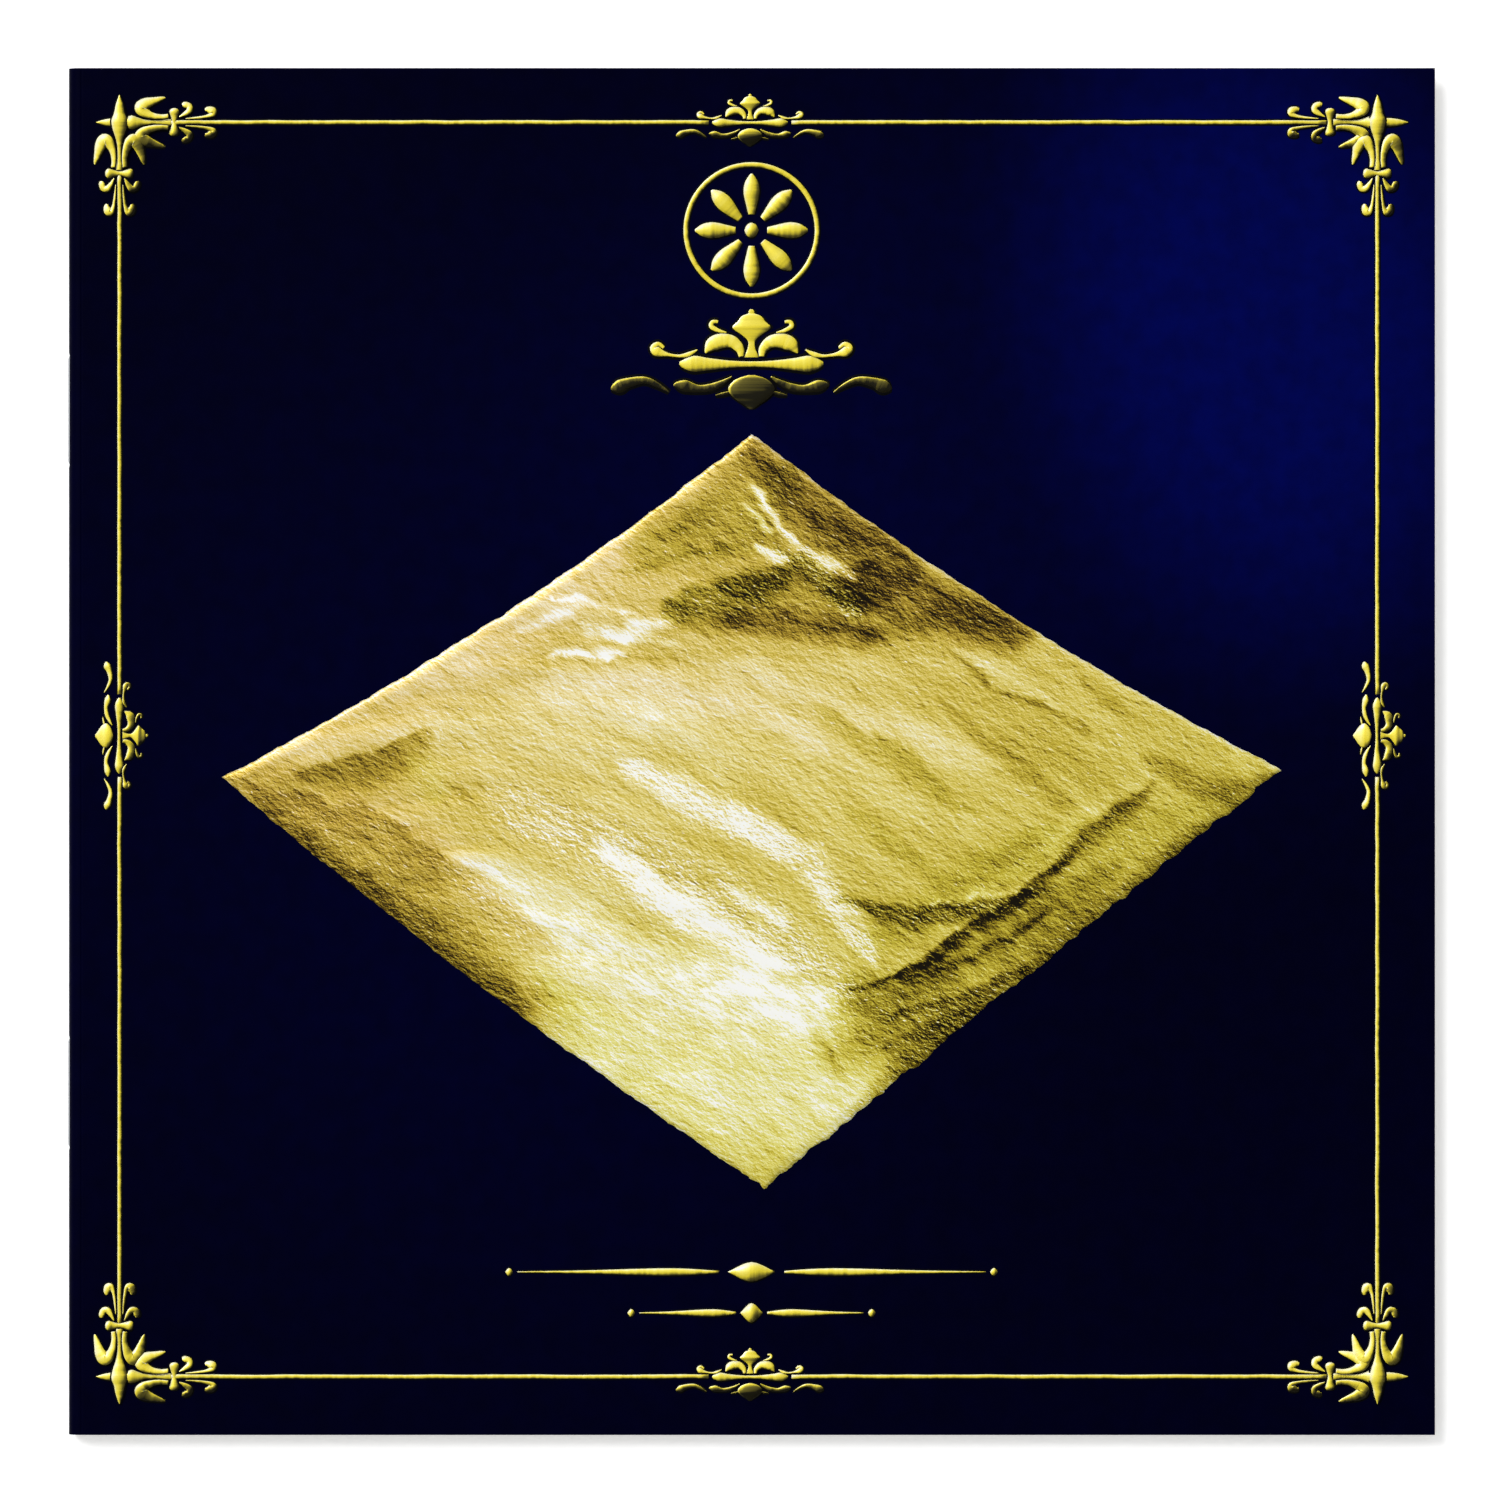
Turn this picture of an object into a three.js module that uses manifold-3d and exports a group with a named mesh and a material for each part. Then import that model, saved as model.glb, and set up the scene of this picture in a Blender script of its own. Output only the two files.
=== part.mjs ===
// Imitation gold leaf booklet, closed and lying on its back cover.
// Units are millimetres. The spine fold is at -X, the fore-edge at +X and the head of the cover at +Y.
// +Z is up, and the origin is the middle of the underside.

import * as THREE from 'three';
import { mergeVertices } from 'three/addons/utils/BufferGeometryUtils.js';
import Module from 'manifold-3d';

// Sheets: the loose metal leaves, the tissue pages between them and the card cover round both.
const LEAF_SIDE = 140;
const LEAF_THICKNESS = 0.02;
const LEAF_COUNT = 25;
const TISSUE_THICKNESS = 0.04;
const CARD_THICKNESS = 0.3;
const SHEET_GAP = 0.01;

// Margins round a leaf: to the outside of the spine, to the page's fore-edge, and to its head and tail.
const GUTTER_MARGIN = 7.2;
const FORE_EDGE_MARGIN = 2;
const HEAD_MARGIN = 4.2;
const PAGE_TRIM = 0.8;

// The gutter strip of the folded sheets that stays with the spine when a page turns, past the staple crowns.
const GUTTER_STRIP = 0.8;

// Staples: round wire, crown pressed into the outside of the spine, legs clinched in the middle opening.
const STAPLE_WIRE = 0.45;
const STAPLE_CROWN = 12;
const STAPLE_PITCH = 75;
const STAPLE_BEND_RADIUS = 0.5;
const STAPLE_TIP_GAP = 1.5;
const STAPLE_BED = 0.2;

// Clearances: wire in its holes and on its seats, tissue folds in the spine, and fold to turning sheets.
const STAPLE_CLEARANCE = 0.1;
const FOLD_CLEARANCE = 0.05;
const HINGE_CLEARANCE = 0.1;

// Facets of the round forms.
const FOLD_ARC_STEPS = 16;
const BEND_STEPS = 4;
const WIRE_SIDES = 8;

// The stack: pages and leaves alternate between the two cards, with a tissue page at top and bottom.
const PAGE_COUNT = LEAF_COUNT + 1;
const GAP_COUNT = PAGE_COUNT + LEAF_COUNT + 1;
const BLOCK_HEIGHT = PAGE_COUNT * TISSUE_THICKNESS + LEAF_COUNT * LEAF_THICKNESS + GAP_COUNT * SHEET_GAP;
const BOOK_HEIGHT = BLOCK_HEIGHT + 2 * CARD_THICKNESS;
const SHEET_PITCH = TISSUE_THICKNESS + LEAF_THICKNESS + 2 * SHEET_GAP;

// The spine is a half round of the whole height, and every page and the cover turn about its centre line.
const SPINE_RADIUS = BOOK_HEIGHT / 2;
const SPINE_INNER_RADIUS = SPINE_RADIUS - CARD_THICKNESS;
const FOLDS_RADIUS = SPINE_INNER_RADIUS - FOLD_CLEARANCE;
const STAPLE_STAND = STAPLE_WIRE + STAPLE_CLEARANCE - STAPLE_BED;
const FOLD_REACH = SPINE_RADIUS + STAPLE_STAND + GUTTER_STRIP;
const TURNING_START = FOLD_REACH + HINGE_CLEARANCE;

// Outer sizes follow from the leaf and its margins. X is measured from the fold's centre line.
const COVER_WIDTH = GUTTER_MARGIN + LEAF_SIDE + FORE_EDGE_MARGIN + PAGE_TRIM;
const PAGE_LENGTH = LEAF_SIDE + 2 * HEAD_MARGIN;
const COVER_LENGTH = PAGE_LENGTH + 2 * PAGE_TRIM;
const LEAF_START = GUTTER_MARGIN - SPINE_RADIUS;
const LEAF_END = LEAF_START + LEAF_SIDE;
const PAGE_END = LEAF_END + FORE_EDGE_MARGIN;
const COVER_END = PAGE_END + PAGE_TRIM;
const OVERALL_WIDTH = STAPLE_STAND + COVER_WIDTH;
const FOLD_CENTRE_X = STAPLE_STAND + SPINE_RADIUS - OVERALL_WIDTH / 2;

const wasm = await Module();
wasm.setup();

// How far from the fold's centre line a fixed piece may reach at a height, clear of every turning sheet.
function reachAt(height) {
  return Math.sqrt(FOLD_REACH ** 2 - height ** 2);
}

function piece(name, geometry, finish) {
  const mesh = new THREE.Mesh(geometry, new THREE.MeshStandardMaterial(finish));
  mesh.name = name;
  return mesh;
}

// A flat sheet from one distance to another from the fold, with its underside at the given height.
function sheet(name, start, end, length, thickness, bottom, finish) {
  const mesh = piece(name, new THREE.BoxGeometry(end - start, length, thickness), finish);
  mesh.position.set((start + end) / 2, 0, bottom + thickness / 2);
  return mesh;
}

// A profile drawn across the fold, in X and Z, run along the spine for a length.
function alongSpine(profile, length) {
  const options = { depth: length, bevelEnabled: false, curveSegments: FOLD_ARC_STEPS };
  const geometry = new THREE.ExtrudeGeometry(profile, options);
  geometry.translate(0, 0, -length / 2);
  geometry.rotateX(Math.PI / 2);
  return geometry;
}

function toSolid(geometry) {
  const bare = geometry.clone();
  bare.deleteAttribute('normal');
  bare.deleteAttribute('uv');
  const merged = mergeVertices(bare);
  const vertProperties = new Float32Array(merged.attributes.position.array);
  const triVerts = new Uint32Array(merged.index.array);
  return new wasm.Manifold(new wasm.Mesh({ numProp: 3, vertProperties, triVerts }));
}

function toGeometry(solid) {
  const mesh = solid.getMesh();
  const geometry = new THREE.BufferGeometry();
  geometry.setAttribute('position', new THREE.BufferAttribute(mesh.vertProperties, mesh.numProp));
  geometry.setIndex(new THREE.BufferAttribute(mesh.triVerts, 1));
  geometry.computeVertexNormals();
  return geometry;
}

// The card that wraps the fold: a half-round shell with a short flat flap at the top and the bottom.
function spineProfile() {
  const flap = reachAt(SPINE_RADIUS);
  const shape = new THREE.Shape();
  shape.moveTo(flap, SPINE_RADIUS);
  shape.lineTo(0, SPINE_RADIUS);
  shape.absarc(0, 0, SPINE_RADIUS, Math.PI / 2, 1.5 * Math.PI, false);
  shape.lineTo(flap, -SPINE_RADIUS);
  shape.lineTo(flap, -SPINE_INNER_RADIUS);
  shape.lineTo(0, -SPINE_INNER_RADIUS);
  shape.absarc(0, 0, SPINE_INNER_RADIUS, 1.5 * Math.PI, Math.PI / 2, true);
  shape.lineTo(flap, SPINE_INNER_RADIUS);
  shape.closePath();
  return shape;
}

// The nested tissue folds: a round back, and two arms that leave the middle opening free for the staple tips.
function foldsProfile() {
  const arm = reachAt(FOLDS_RADIUS);
  const opening = STAPLE_WIRE / 2 + 2 * STAPLE_CLEARANCE;
  const shape = new THREE.Shape();
  shape.moveTo(arm, FOLDS_RADIUS);
  shape.lineTo(0, FOLDS_RADIUS);
  shape.absarc(0, 0, FOLDS_RADIUS, Math.PI / 2, 1.5 * Math.PI, false);
  shape.lineTo(arm, -FOLDS_RADIUS);
  shape.lineTo(arm, -opening);
  shape.lineTo(0, -opening);
  shape.lineTo(0, opening);
  shape.lineTo(arm, opening);
  shape.closePath();
  return shape;
}

// The centre line of a staple: straight runs joined by quarter-round bends, in the plane of the fold.
class StapleRoute extends THREE.Curve {
  constructor(points, directions) {
    super();
    this.points = points;
    this.directions = directions;
  }
  getPointAt(u) {
    return this.points[Math.round(u * (this.points.length - 1))].clone();
  }
  getTangentAt(u) {
    return this.directions[Math.round(u * (this.points.length - 1))].clone();
  }
}

function stapleRoute() {
  const crownX = STAPLE_WIRE / 2 - SPINE_RADIUS - STAPLE_STAND;
  const tipX = STAPLE_WIRE / 2 + 2 * STAPLE_CLEARANCE;
  const legY = STAPLE_CROWN / 2;
  const inset = STAPLE_BEND_RADIUS;
  const bends = [
    { x: tipX - inset, y: legY - inset, start: 0 },
    { x: crownX + inset, y: legY - inset, start: Math.PI / 2 },
    { x: crownX + inset, y: -legY + inset, start: Math.PI },
    { x: tipX - inset, y: -legY + inset, start: 1.5 * Math.PI },
  ];
  const along = new THREE.Vector3(0, 1, 0);
  const points = [new THREE.Vector3(tipX, STAPLE_TIP_GAP / 2, 0)];
  const directions = [along.clone()];
  for (const bend of bends) {
    for (let step = 0; step <= BEND_STEPS; step += 1) {
      const angle = bend.start + (step / BEND_STEPS) * (Math.PI / 2);
      const out = new THREE.Vector3(Math.cos(angle), Math.sin(angle), 0);
      points.push(out.clone().multiplyScalar(inset).add(new THREE.Vector3(bend.x, bend.y, 0)));
      directions.push(new THREE.Vector3(-out.y, out.x, 0));
    }
  }
  points.push(new THREE.Vector3(tipX, -STAPLE_TIP_GAP / 2, 0));
  directions.push(along.clone());
  return new StapleRoute(points, directions);
}

// Round bar of a radius bent along the staple's centre line: the wire itself, or the room that it needs.
function bentBar(radius) {
  const corners = Array.from({ length: WIRE_SIDES }, (_, side) => {
    const angle = (side / WIRE_SIDES) * 2 * Math.PI;
    return new THREE.Vector2(Math.cos(angle), Math.sin(angle)).multiplyScalar(radius);
  });
  const route = stapleRoute();
  const options = { steps: route.points.length - 1, extrudePath: route };
  return new THREE.ExtrudeGeometry(new THREE.Shape(corners), options);
}

const STAPLE_CENTRES = [STAPLE_PITCH / 2, -STAPLE_PITCH / 2];

// The bed of each crown and the holes for its legs, cut out of what the staples go through.
function withStapleRoom(geometry) {
  let solid = toSolid(geometry);
  for (const y of STAPLE_CENTRES) {
    const room = bentBar(STAPLE_WIRE / 2 + STAPLE_CLEARANCE).translate(0, y, 0);
    solid = solid.subtract(toSolid(room));
  }
  return toGeometry(solid);
}

function staple(name, y) {
  const mesh = piece(name, bentBar(STAPLE_WIRE / 2), STEEL);
  mesh.position.y = y;
  return mesh;
}

const PRINTED_CARD = { color: 0x03031f, roughness: 0.35, metalness: 0 };
const TISSUE = { color: 0xf3efe6, roughness: 0.9, metalness: 0 };
const METAL_LEAF = { color: 0xcfae5a, roughness: 0.25, metalness: 1 };
const STEEL = { color: 0xb9bcc0, roughness: 0.3, metalness: 1 };

const COVER_BOTTOM = SPINE_RADIUS - CARD_THICKNESS;
const TOP_PAGE_BOTTOM = COVER_BOTTOM - SHEET_GAP - TISSUE_THICKNESS;

function numbered(stem, index) {
  return `${stem}_${String(index + 1).padStart(2, '0')}`;
}

function tissuePage(index) {
  const bottom = TOP_PAGE_BOTTOM - index * SHEET_PITCH;
  const name = numbered('tissue_page', index);
  return sheet(name, TURNING_START, PAGE_END, PAGE_LENGTH, TISSUE_THICKNESS, bottom, TISSUE);
}

function goldLeaf(index) {
  const bottom = TOP_PAGE_BOTTOM - index * SHEET_PITCH - SHEET_GAP - LEAF_THICKNESS;
  const name = numbered('gold_leaf', index);
  return sheet(name, LEAF_START, LEAF_END, LEAF_SIDE, LEAF_THICKNESS, bottom, METAL_LEAF);
}

const cover = new THREE.Group();
cover.add(
  sheet('front_cover', TURNING_START, COVER_END, COVER_LENGTH, CARD_THICKNESS, COVER_BOTTOM, PRINTED_CARD),
  sheet(
    'back_cover', reachAt(SPINE_RADIUS), COVER_END, COVER_LENGTH, CARD_THICKNESS, -SPINE_RADIUS, PRINTED_CARD,
  ),
  piece('spine', withStapleRoom(alongSpine(spineProfile(), COVER_LENGTH)), PRINTED_CARD),
);

const block = new THREE.Group();
block.add(piece('tissue_folds', withStapleRoom(alongSpine(foldsProfile(), PAGE_LENGTH)), TISSUE));
for (let index = 0; index < PAGE_COUNT; index += 1) {
  block.add(tissuePage(index));
}
for (let index = 0; index < LEAF_COUNT; index += 1) {
  block.add(goldLeaf(index));
}

const staples = new THREE.Group();
staples.add(staple('staple_upper', STAPLE_CENTRES[0]), staple('staple_lower', STAPLE_CENTRES[1]));

const booklet = new THREE.Group();
booklet.add(cover, block, staples);
booklet.position.set(FOLD_CENTRE_X, 0, SPINE_RADIUS);

export default booklet;
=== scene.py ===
"""Looks of the imitation gold leaf booklet, built round its packed frame and laid out as an add-on.

Lengths are metres. Places on the cover and widths of ornament are millimetres off the cover's middle,
with the head of the cover at +Y, and MM turns them into metres.
"""

import math
import random

import bpy
import numpy as np
from bpy.props import FloatProperty, FloatVectorProperty, IntProperty, PointerProperty
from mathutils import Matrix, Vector, noise


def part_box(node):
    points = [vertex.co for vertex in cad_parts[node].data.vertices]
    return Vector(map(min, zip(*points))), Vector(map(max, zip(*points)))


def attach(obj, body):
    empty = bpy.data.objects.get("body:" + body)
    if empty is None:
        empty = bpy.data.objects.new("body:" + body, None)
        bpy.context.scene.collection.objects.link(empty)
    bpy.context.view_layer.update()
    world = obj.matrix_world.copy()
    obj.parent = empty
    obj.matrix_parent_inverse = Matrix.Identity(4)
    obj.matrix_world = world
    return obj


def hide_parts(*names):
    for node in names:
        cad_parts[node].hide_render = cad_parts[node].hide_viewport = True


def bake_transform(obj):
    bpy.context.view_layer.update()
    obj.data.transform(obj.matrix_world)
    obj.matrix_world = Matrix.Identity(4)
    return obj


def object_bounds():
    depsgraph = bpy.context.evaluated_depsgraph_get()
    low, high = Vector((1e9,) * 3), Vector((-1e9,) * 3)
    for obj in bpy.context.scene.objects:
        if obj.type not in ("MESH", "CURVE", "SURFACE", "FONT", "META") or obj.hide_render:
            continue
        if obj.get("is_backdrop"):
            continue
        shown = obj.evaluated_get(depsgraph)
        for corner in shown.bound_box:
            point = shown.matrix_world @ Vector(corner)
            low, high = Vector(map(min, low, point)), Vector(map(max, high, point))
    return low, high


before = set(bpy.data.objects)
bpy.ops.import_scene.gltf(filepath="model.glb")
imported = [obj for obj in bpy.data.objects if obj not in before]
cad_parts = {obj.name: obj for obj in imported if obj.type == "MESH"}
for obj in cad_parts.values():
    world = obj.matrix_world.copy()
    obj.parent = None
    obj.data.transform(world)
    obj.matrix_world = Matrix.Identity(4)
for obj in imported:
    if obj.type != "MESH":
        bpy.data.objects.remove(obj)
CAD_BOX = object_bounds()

bl_info = {
    "name": "Imitation Gold Leaf Booklet",
    "version": (1, 0, 0),
    "blender": (4, 5, 0),
    "location": "View3D > Sidebar > Booklet",
    "description": "Builds the printed cover, tissue pages, metal leaves and staples of the booklet",
    "category": "Object",
}

MM = 0.001
PLACE = "place"
SHADE = "shade"
TONE = "tone"
# The side from which painted light falls on the foil.
LAMP_SIDE = (-0.7, 0.7, 0.0)

# The frame's own sizes: the fold line that everything turns about, the card, the pages and the leaves.
SPINE_LOW, SPINE_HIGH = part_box("spine")
COVER_LOW, COVER_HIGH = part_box("front_cover")
PAGE_LOW, PAGE_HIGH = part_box("tissue_page_01")
LEAF_LOW, LEAF_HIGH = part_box("gold_leaf_01")
SPINE_RADIUS = (SPINE_HIGH.z - SPINE_LOW.z) / 2
FOLD_X = SPINE_LOW.x + SPINE_RADIUS
FOLD_Z = (SPINE_LOW.z + SPINE_HIGH.z) / 2
CARD_THICKNESS = COVER_HIGH.z - COVER_LOW.z
COVER_TOP = COVER_HIGH.z
COVER_MIDDLE = (SPINE_LOW.x + COVER_HIGH.x) / 2
COVER_WIDTH = COVER_HIGH.x - SPINE_LOW.x
COVER_LENGTH = COVER_HIGH.y - COVER_LOW.y
PAGES = sorted(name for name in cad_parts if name.startswith("tissue_page"))
LEAVES = sorted(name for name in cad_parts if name.startswith("gold_leaf"))
STAPLES = sorted(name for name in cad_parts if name.startswith("staple"))
FOLDED_SHEETS = len(PAGES) // 2

# A staple's crown is pressed into the spine past its seat in the frame, and takes the card in with it.
STAPLE_BOXES = [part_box(name) for name in STAPLES]
STAPLE_LOW, STAPLE_HIGH = STAPLE_BOXES[0]
STAPLE_RADIUS = (STAPLE_HIGH.z - STAPLE_LOW.z) / 2
STAPLE_PRESS = 0.26 * MM
BED_DEPTH = STAPLE_LOW.x + 2 * STAPLE_RADIUS + STAPLE_PRESS - SPINE_LOW.x
BED_END = 0.5 * MM
# Where a bed begins to rise near a crown's end, and where it is level with the card again.
BED_END_RISE = (-0.5 * BED_END, 0.1 * BED_END)

# Where the sheets bend when they turn, meshed closely: the cover close to the spine, a page up to the leaf
# on it.
SPINE_LAP = 0.1 * MM
COVER_BEND_END = FOLD_X + 4.6 * MM
PAGE_BEND_END = LEAF_LOW.x
INNER_FOLD_RADIUS = 0.3 * MM
FOLD_EASE_START = 0.5 * MM
FOLD_EASE = 2.2 * MM

# How finely sheets and wire are meshed: steps along a stretch, lines across a sheet, sides round the wire.
COVER_BEND_STEPS = 20
COVER_STEPS = 20
BACK_STEPS = 30
SPINE_STEPS = 40
CARD_LINES = 24
TISSUE_FOLD_STEPS = 14
PAGE_BEND_STEPS = 18
PAGE_STEPS = 8
TISSUE_LINES = 10
BED_END_STEPS = 10
WIRE_BEND_STEPS = 8
WIRE_SIDES = 14
# Strip beside a cut edge that takes up the edge's smooth shading, and the angle from which an edge is sharp.
CUT_EDGE_HEM = 0.04 * MM
SHARP_EDGE = math.radians(50)

# How unevenly the folded sheets are trimmed: a fixed draw, and shares of the trim short of and past a line.
TRIM_SEED = 25
TRIM_SHORT, TRIM_LONG = -0.6, 0.4

# How far the paper's clouds and the leaf's crinkles move on from one sheet to the next.
PAGE_GRAIN_SHIFT = (20 * MM, 50 * MM)
LEAF_GRAIN_SHIFT = (31.0, -17.0)

# A loose leaf: the ragged cut at its rim, and its waves, of which the fine ones are a share of the broad.
LEAF_RAG = 0.3 * MM
LEAF_RAG_RIM = 3.0 * MM
LEAF_WAVE = 14.0 * MM
LEAF_WAVE_SLICE = 7.3
FINE_WAVE_SHARE = 0.6
FINE_WAVES_TO_BROAD = 2.7

# The border on the cover: its four lines, and the ornaments at the corners and half-way along the sides.
BORDER_LEFT = -COVER_WIDTH / 2 / MM + 5.65
BORDER_RIGHT = COVER_WIDTH / 2 / MM - 6.32
BORDER_TOP = COVER_LENGTH / 2 / MM - 5.96
BORDER_BOTTOM = -COVER_LENGTH / 2 / MM + 6.41
SIDE_MIDDLE_X = -0.16
SIDE_MIDDLE_Y = 1.74
CORNER_REACH = 5.6
CORNER_ARM_SHIFT = 0.4
CORNER_ARM_LIFT = 0.05
CORNER_BUD_LIFT = 0.2
SIDE_ORNAMENT_GAP = 4.55

# A border line's unevenness: strength, swells to the millimetre along and across it, and slice of noise.
LINE_STEPS = 60
LINE_SWAY = (0.05, 0.35, 1.0, 2.0)
LINE_SWELL = (0.12, 0.6, 1.0, 9.0)

# Foil relief: a stroke's steps and sides, its least half width, and the ink ridge under the foil.
STROKE_STEPS = 5
FOIL_SIDES = 6
INK_SIDES = 4
THINNEST_STROKE = 0.012
SAME_POINT = 1e-6
FOIL_LIFT = 0.01
INK_HEIGHT = 0.3
GOLD, INK = 0, 1
# How far beside a line, and below the middle of an ornament, its painted shade begins and is full, and how
# much deeper the painted shade is low on an ornament. Foil that faces away gets painted shade no further
# than the least facing.
SIDE_FADE_REACH = (0.2, 2.2)
LOWER_FADE_REACH = (1.0, 6.0)
LOWER_FADE = 1.5
LEAST_FACING = -0.45

# Strokes of a corner ornament's arm: across the line, along it from the crossing, and half the width.
CORNER_BUD = [
    (0, -3.05, 0), (0, -2.3, 0.30), (0, -1.75, 0.46), (0, -0.95, 0.62), (0, -0.18, 0.90), (0, 0.73, 0.76),
    (0, 1.55, 0.50), (0, 2.36, 0.29), (0, 3.37, 0.22), (0, 4.18, 0.25), (0, 4.91, 0.36), (0, 5.24, 0.36),
]
CORNER_CROSS_BUD = [
    (0, -3.05, 0), (0, -2.3, 0.26), (0, -1.6, 0.42), (0, -0.8, 0.50), (0, 0.1, 0.48), (0, 0.9, 0.78),
    (0, 1.55, 0.58), (0, 2.36, 0.31), (0, 3.37, 0.22), (0, 4.18, 0.25), (0, 4.91, 0.36), (0, 5.24, 0.36),
]
CORNER_PETAL = [
    (0.65, 4.97, 0.25), (0.58, 4.06, 0.27), (0.75, 3.06, 0.37), (1.15, 2.25, 0.58), (1.65, 2.0, 0.73),
    (2.08, 2.55, 0.62), (2.38, 3.45, 0.40), (2.62, 4.25, 0.22), (2.73, 4.64, 0.05),
]
# Share of the painted shade that the corner petals take.
CORNER_PETAL_FADE = 0.4
CORNER_COLLAR = [
    (-1.56, 5.6, 0.16), (-1.44, 5.6, 0.42), (-1.15, 5.6, 0.54), (-0.62, 5.6, 0.38), (0, 5.6, 0.25),
    (0.62, 5.6, 0.38), (1.15, 5.6, 0.54), (1.44, 5.6, 0.42), (1.56, 5.6, 0.16),
]
CORNER_SHORT_CURL = [
    (0.58, 6.17, 0.04), (0.91, 6.78, 0.22), (1.31, 7.28, 0.33), (1.76, 7.24, 0.33), (1.95, 6.77, 0.33),
    (1.91, 6.49, 0.18),
]
CORNER_LONG_CURL = [
    (0.40, 6.88, 0.04), (0.49, 8.06, 0.11), (0.64, 9.15, 0.16), (0.91, 9.84, 0.31), (1.24, 9.79, 0.45),
    (1.42, 9.33, 0.33), (1.36, 9.00, 0.15),
]

# Strokes of a side ornament: along the line, out of it towards the bud, and half the width.
SIDE_BUD_HEIGHT = 0.35
SIDE_BUD = [
    (0, 3.12, 0.06), (0, 3.0, 0.17), (0, 2.88, 0.18), (0, 2.76, 0.50), (0, 2.58, 0.70), (0, 2.42, 0.80),
    (0, 2.12, 1.11), (0, 1.92, 0.98), (0, 1.73, 0.70), (0, 1.45, 0.34), (0, 1.22, 0.19), (0, 0.85, 0.22),
    (0, 0.46, 0.40), (0, 0.34, 0.42),
]
SIDE_DROP = [
    (0, -0.70, 0.20), (0, -0.86, 0.72), (0, -1.07, 1.07), (0, -1.38, 1.32), (0, -1.64, 1.30),
    (0, -1.89, 1.13), (0, -2.20, 0.76), (0, -2.42, 0.42), (0, -2.67, 0.08),
]
SIDE_BAR = [
    (-4.16, 0, 0.09), (-3.85, -0.03, 0.31), (-3.31, -0.03, 0.49), (-2.46, -0.05, 0.37), (-1.23, -0.05, 0.22),
    (0, -0.05, 0.17), (1.23, -0.05, 0.22), (2.46, -0.05, 0.37), (3.31, -0.03, 0.49), (3.85, -0.03, 0.31),
    (4.16, 0, 0.09),
]
SIDE_WINGS = [
    [(0.58, 0.38, 0.15), (0.69, 0.85, 0.26), (1.15, 1.25, 0.36), (1.77, 1.30, 0.44), (2.28, 1.08, 0.40),
     (2.55, 0.76, 0.18), (2.66, 0.58, 0.03)],
    [(1.43, 1.77, 0.03), (1.92, 1.89, 0.11), (2.31, 2.12, 0.14), (2.23, 2.39, 0.12), (1.92, 2.39, 0.09)],
    [(3.12, 0.78, 0.03), (3.62, 0.51, 0.14), (4.20, 0.42, 0.08), (4.89, 0.51, 0.11), (5.43, 0.66, 0.28),
     (5.66, 0.89, 0.20), (5.39, 1.11, 0.14), (5.05, 0.89, 0.08)],
    [(1.12, -0.77, 0.03), (1.59, -1.08, 0.14), (2.31, -1.39, 0.22), (3.08, -1.48, 0.22), (3.85, -1.32, 0.34),
     (4.31, -1.26, 0.18), (4.49, -1.29, 0.05)],
    [(1.08, -1.62, 0.05), (1.62, -1.77, 0.09), (2.08, -1.85, 0.02)],
    [(4.74, -1.68, 0.03), (5.43, -1.26, 0.14), (6.20, -0.98, 0.20), (7.13, -1.14, 0.29), (7.62, -1.35, 0.38),
     (7.97, -1.42, 0.22), (8.11, -1.42, 0.05)],
]

# The leaf picture: its four corners, in order round it, and the light and shade that lie across it.
PICTURE_LEFT = (-58.1, -2.8)
PICTURE_TOP = (0.06, 34.84)
PICTURE_RIGHT = (58.1, -1.92)
PICTURE_BOTTOM = (1.48, -47.9)
# The way that the leaf's fine grain runs, clockwise from level.
GRAIN_TURN = math.radians(28)
# How far the middle of an edge bows from the straight line between its corners.
BOW_UPPER_LEFT = (0.95, -1.45)
BOW_UPPER_RIGHT = (-0.9, -1.4)
BOW_LOWER_LEFT = (-0.7, -0.9)
# How far the picture stands off the print, its thickness, its flat and uneven rims as shares of a side, and
# how much more uneven the torn lower right side is.
PICTURE_SEAT = 0.03 * MM
PICTURE_THICKNESS = 0.02 * MM
FLAT_RIM = 0.015
UNEVEN_RIM = 0.02
TORN_SIDE = 1.5
# Drifts of the rim and of the shades: size in millimetres, and swells to the millimetre.
RIM_DRIFTS = [(0.14, 0.35), (0.12, 1.5)]
SHADE_DRIFTS = [(0.8, 0.14), (0.35, 0.5)]
DRIFT_X_SLICE = Vector((0, 0, 9.37))
DRIFT_Y_SLICE = Vector((0, 0, 21.61))
# Streaks of noise: strength, swells along and across the streaks, and slice of noise.
SHADE_RAG = (0.7, 0.3, 1.1, 3.0)
SHADE_MOTTLES = [(1.0, 0.3, 0.9, 8.0), (0.5, 0.7, 2.0, 11.0)]
MOTTLE_GAIN, LEAST_MOTTLE, MOST_MOTTLE = 0.5, 0.4, 1.5
# Long folds sweep round a far point, with swells to the millimetre off it and to the radian round it. The
# level lifts their hollows off the card.
FOLDS_MIDDLE = (-30, -60)
FOLD_SWELLS = [(1.0, 0.28, 2.5, 5.0), (0.6, 0.7, 6.0, 6.0)]
FOLD_LEVEL = 1.6
# Light and sparkle away from all shades, light on a long fold, and the way over which rose turns to lemon.
PLAIN_LIGHT = 0.65
PLAIN_SPARKLE = 0.05
LEAST_SPARKLE = 0.015
FOLD_LIGHT = 0.075
LEMON_ACROSS, LEMON_DOWN = 90, 45
# The bright rim: its width in millimetres, and its light on the two upper sides.
BRIGHT_RIM = 0.55
UPPER_LEFT_RIM_LIGHT = 0.16
UPPER_RIGHT_RIM_LIGHT = 0.24
# A shade narrows to a lens along its run: the square of its narrowest share, and how its strength follows.
SHADE_TIP = 0.0025
SHADE_FULL = 1.6
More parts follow.
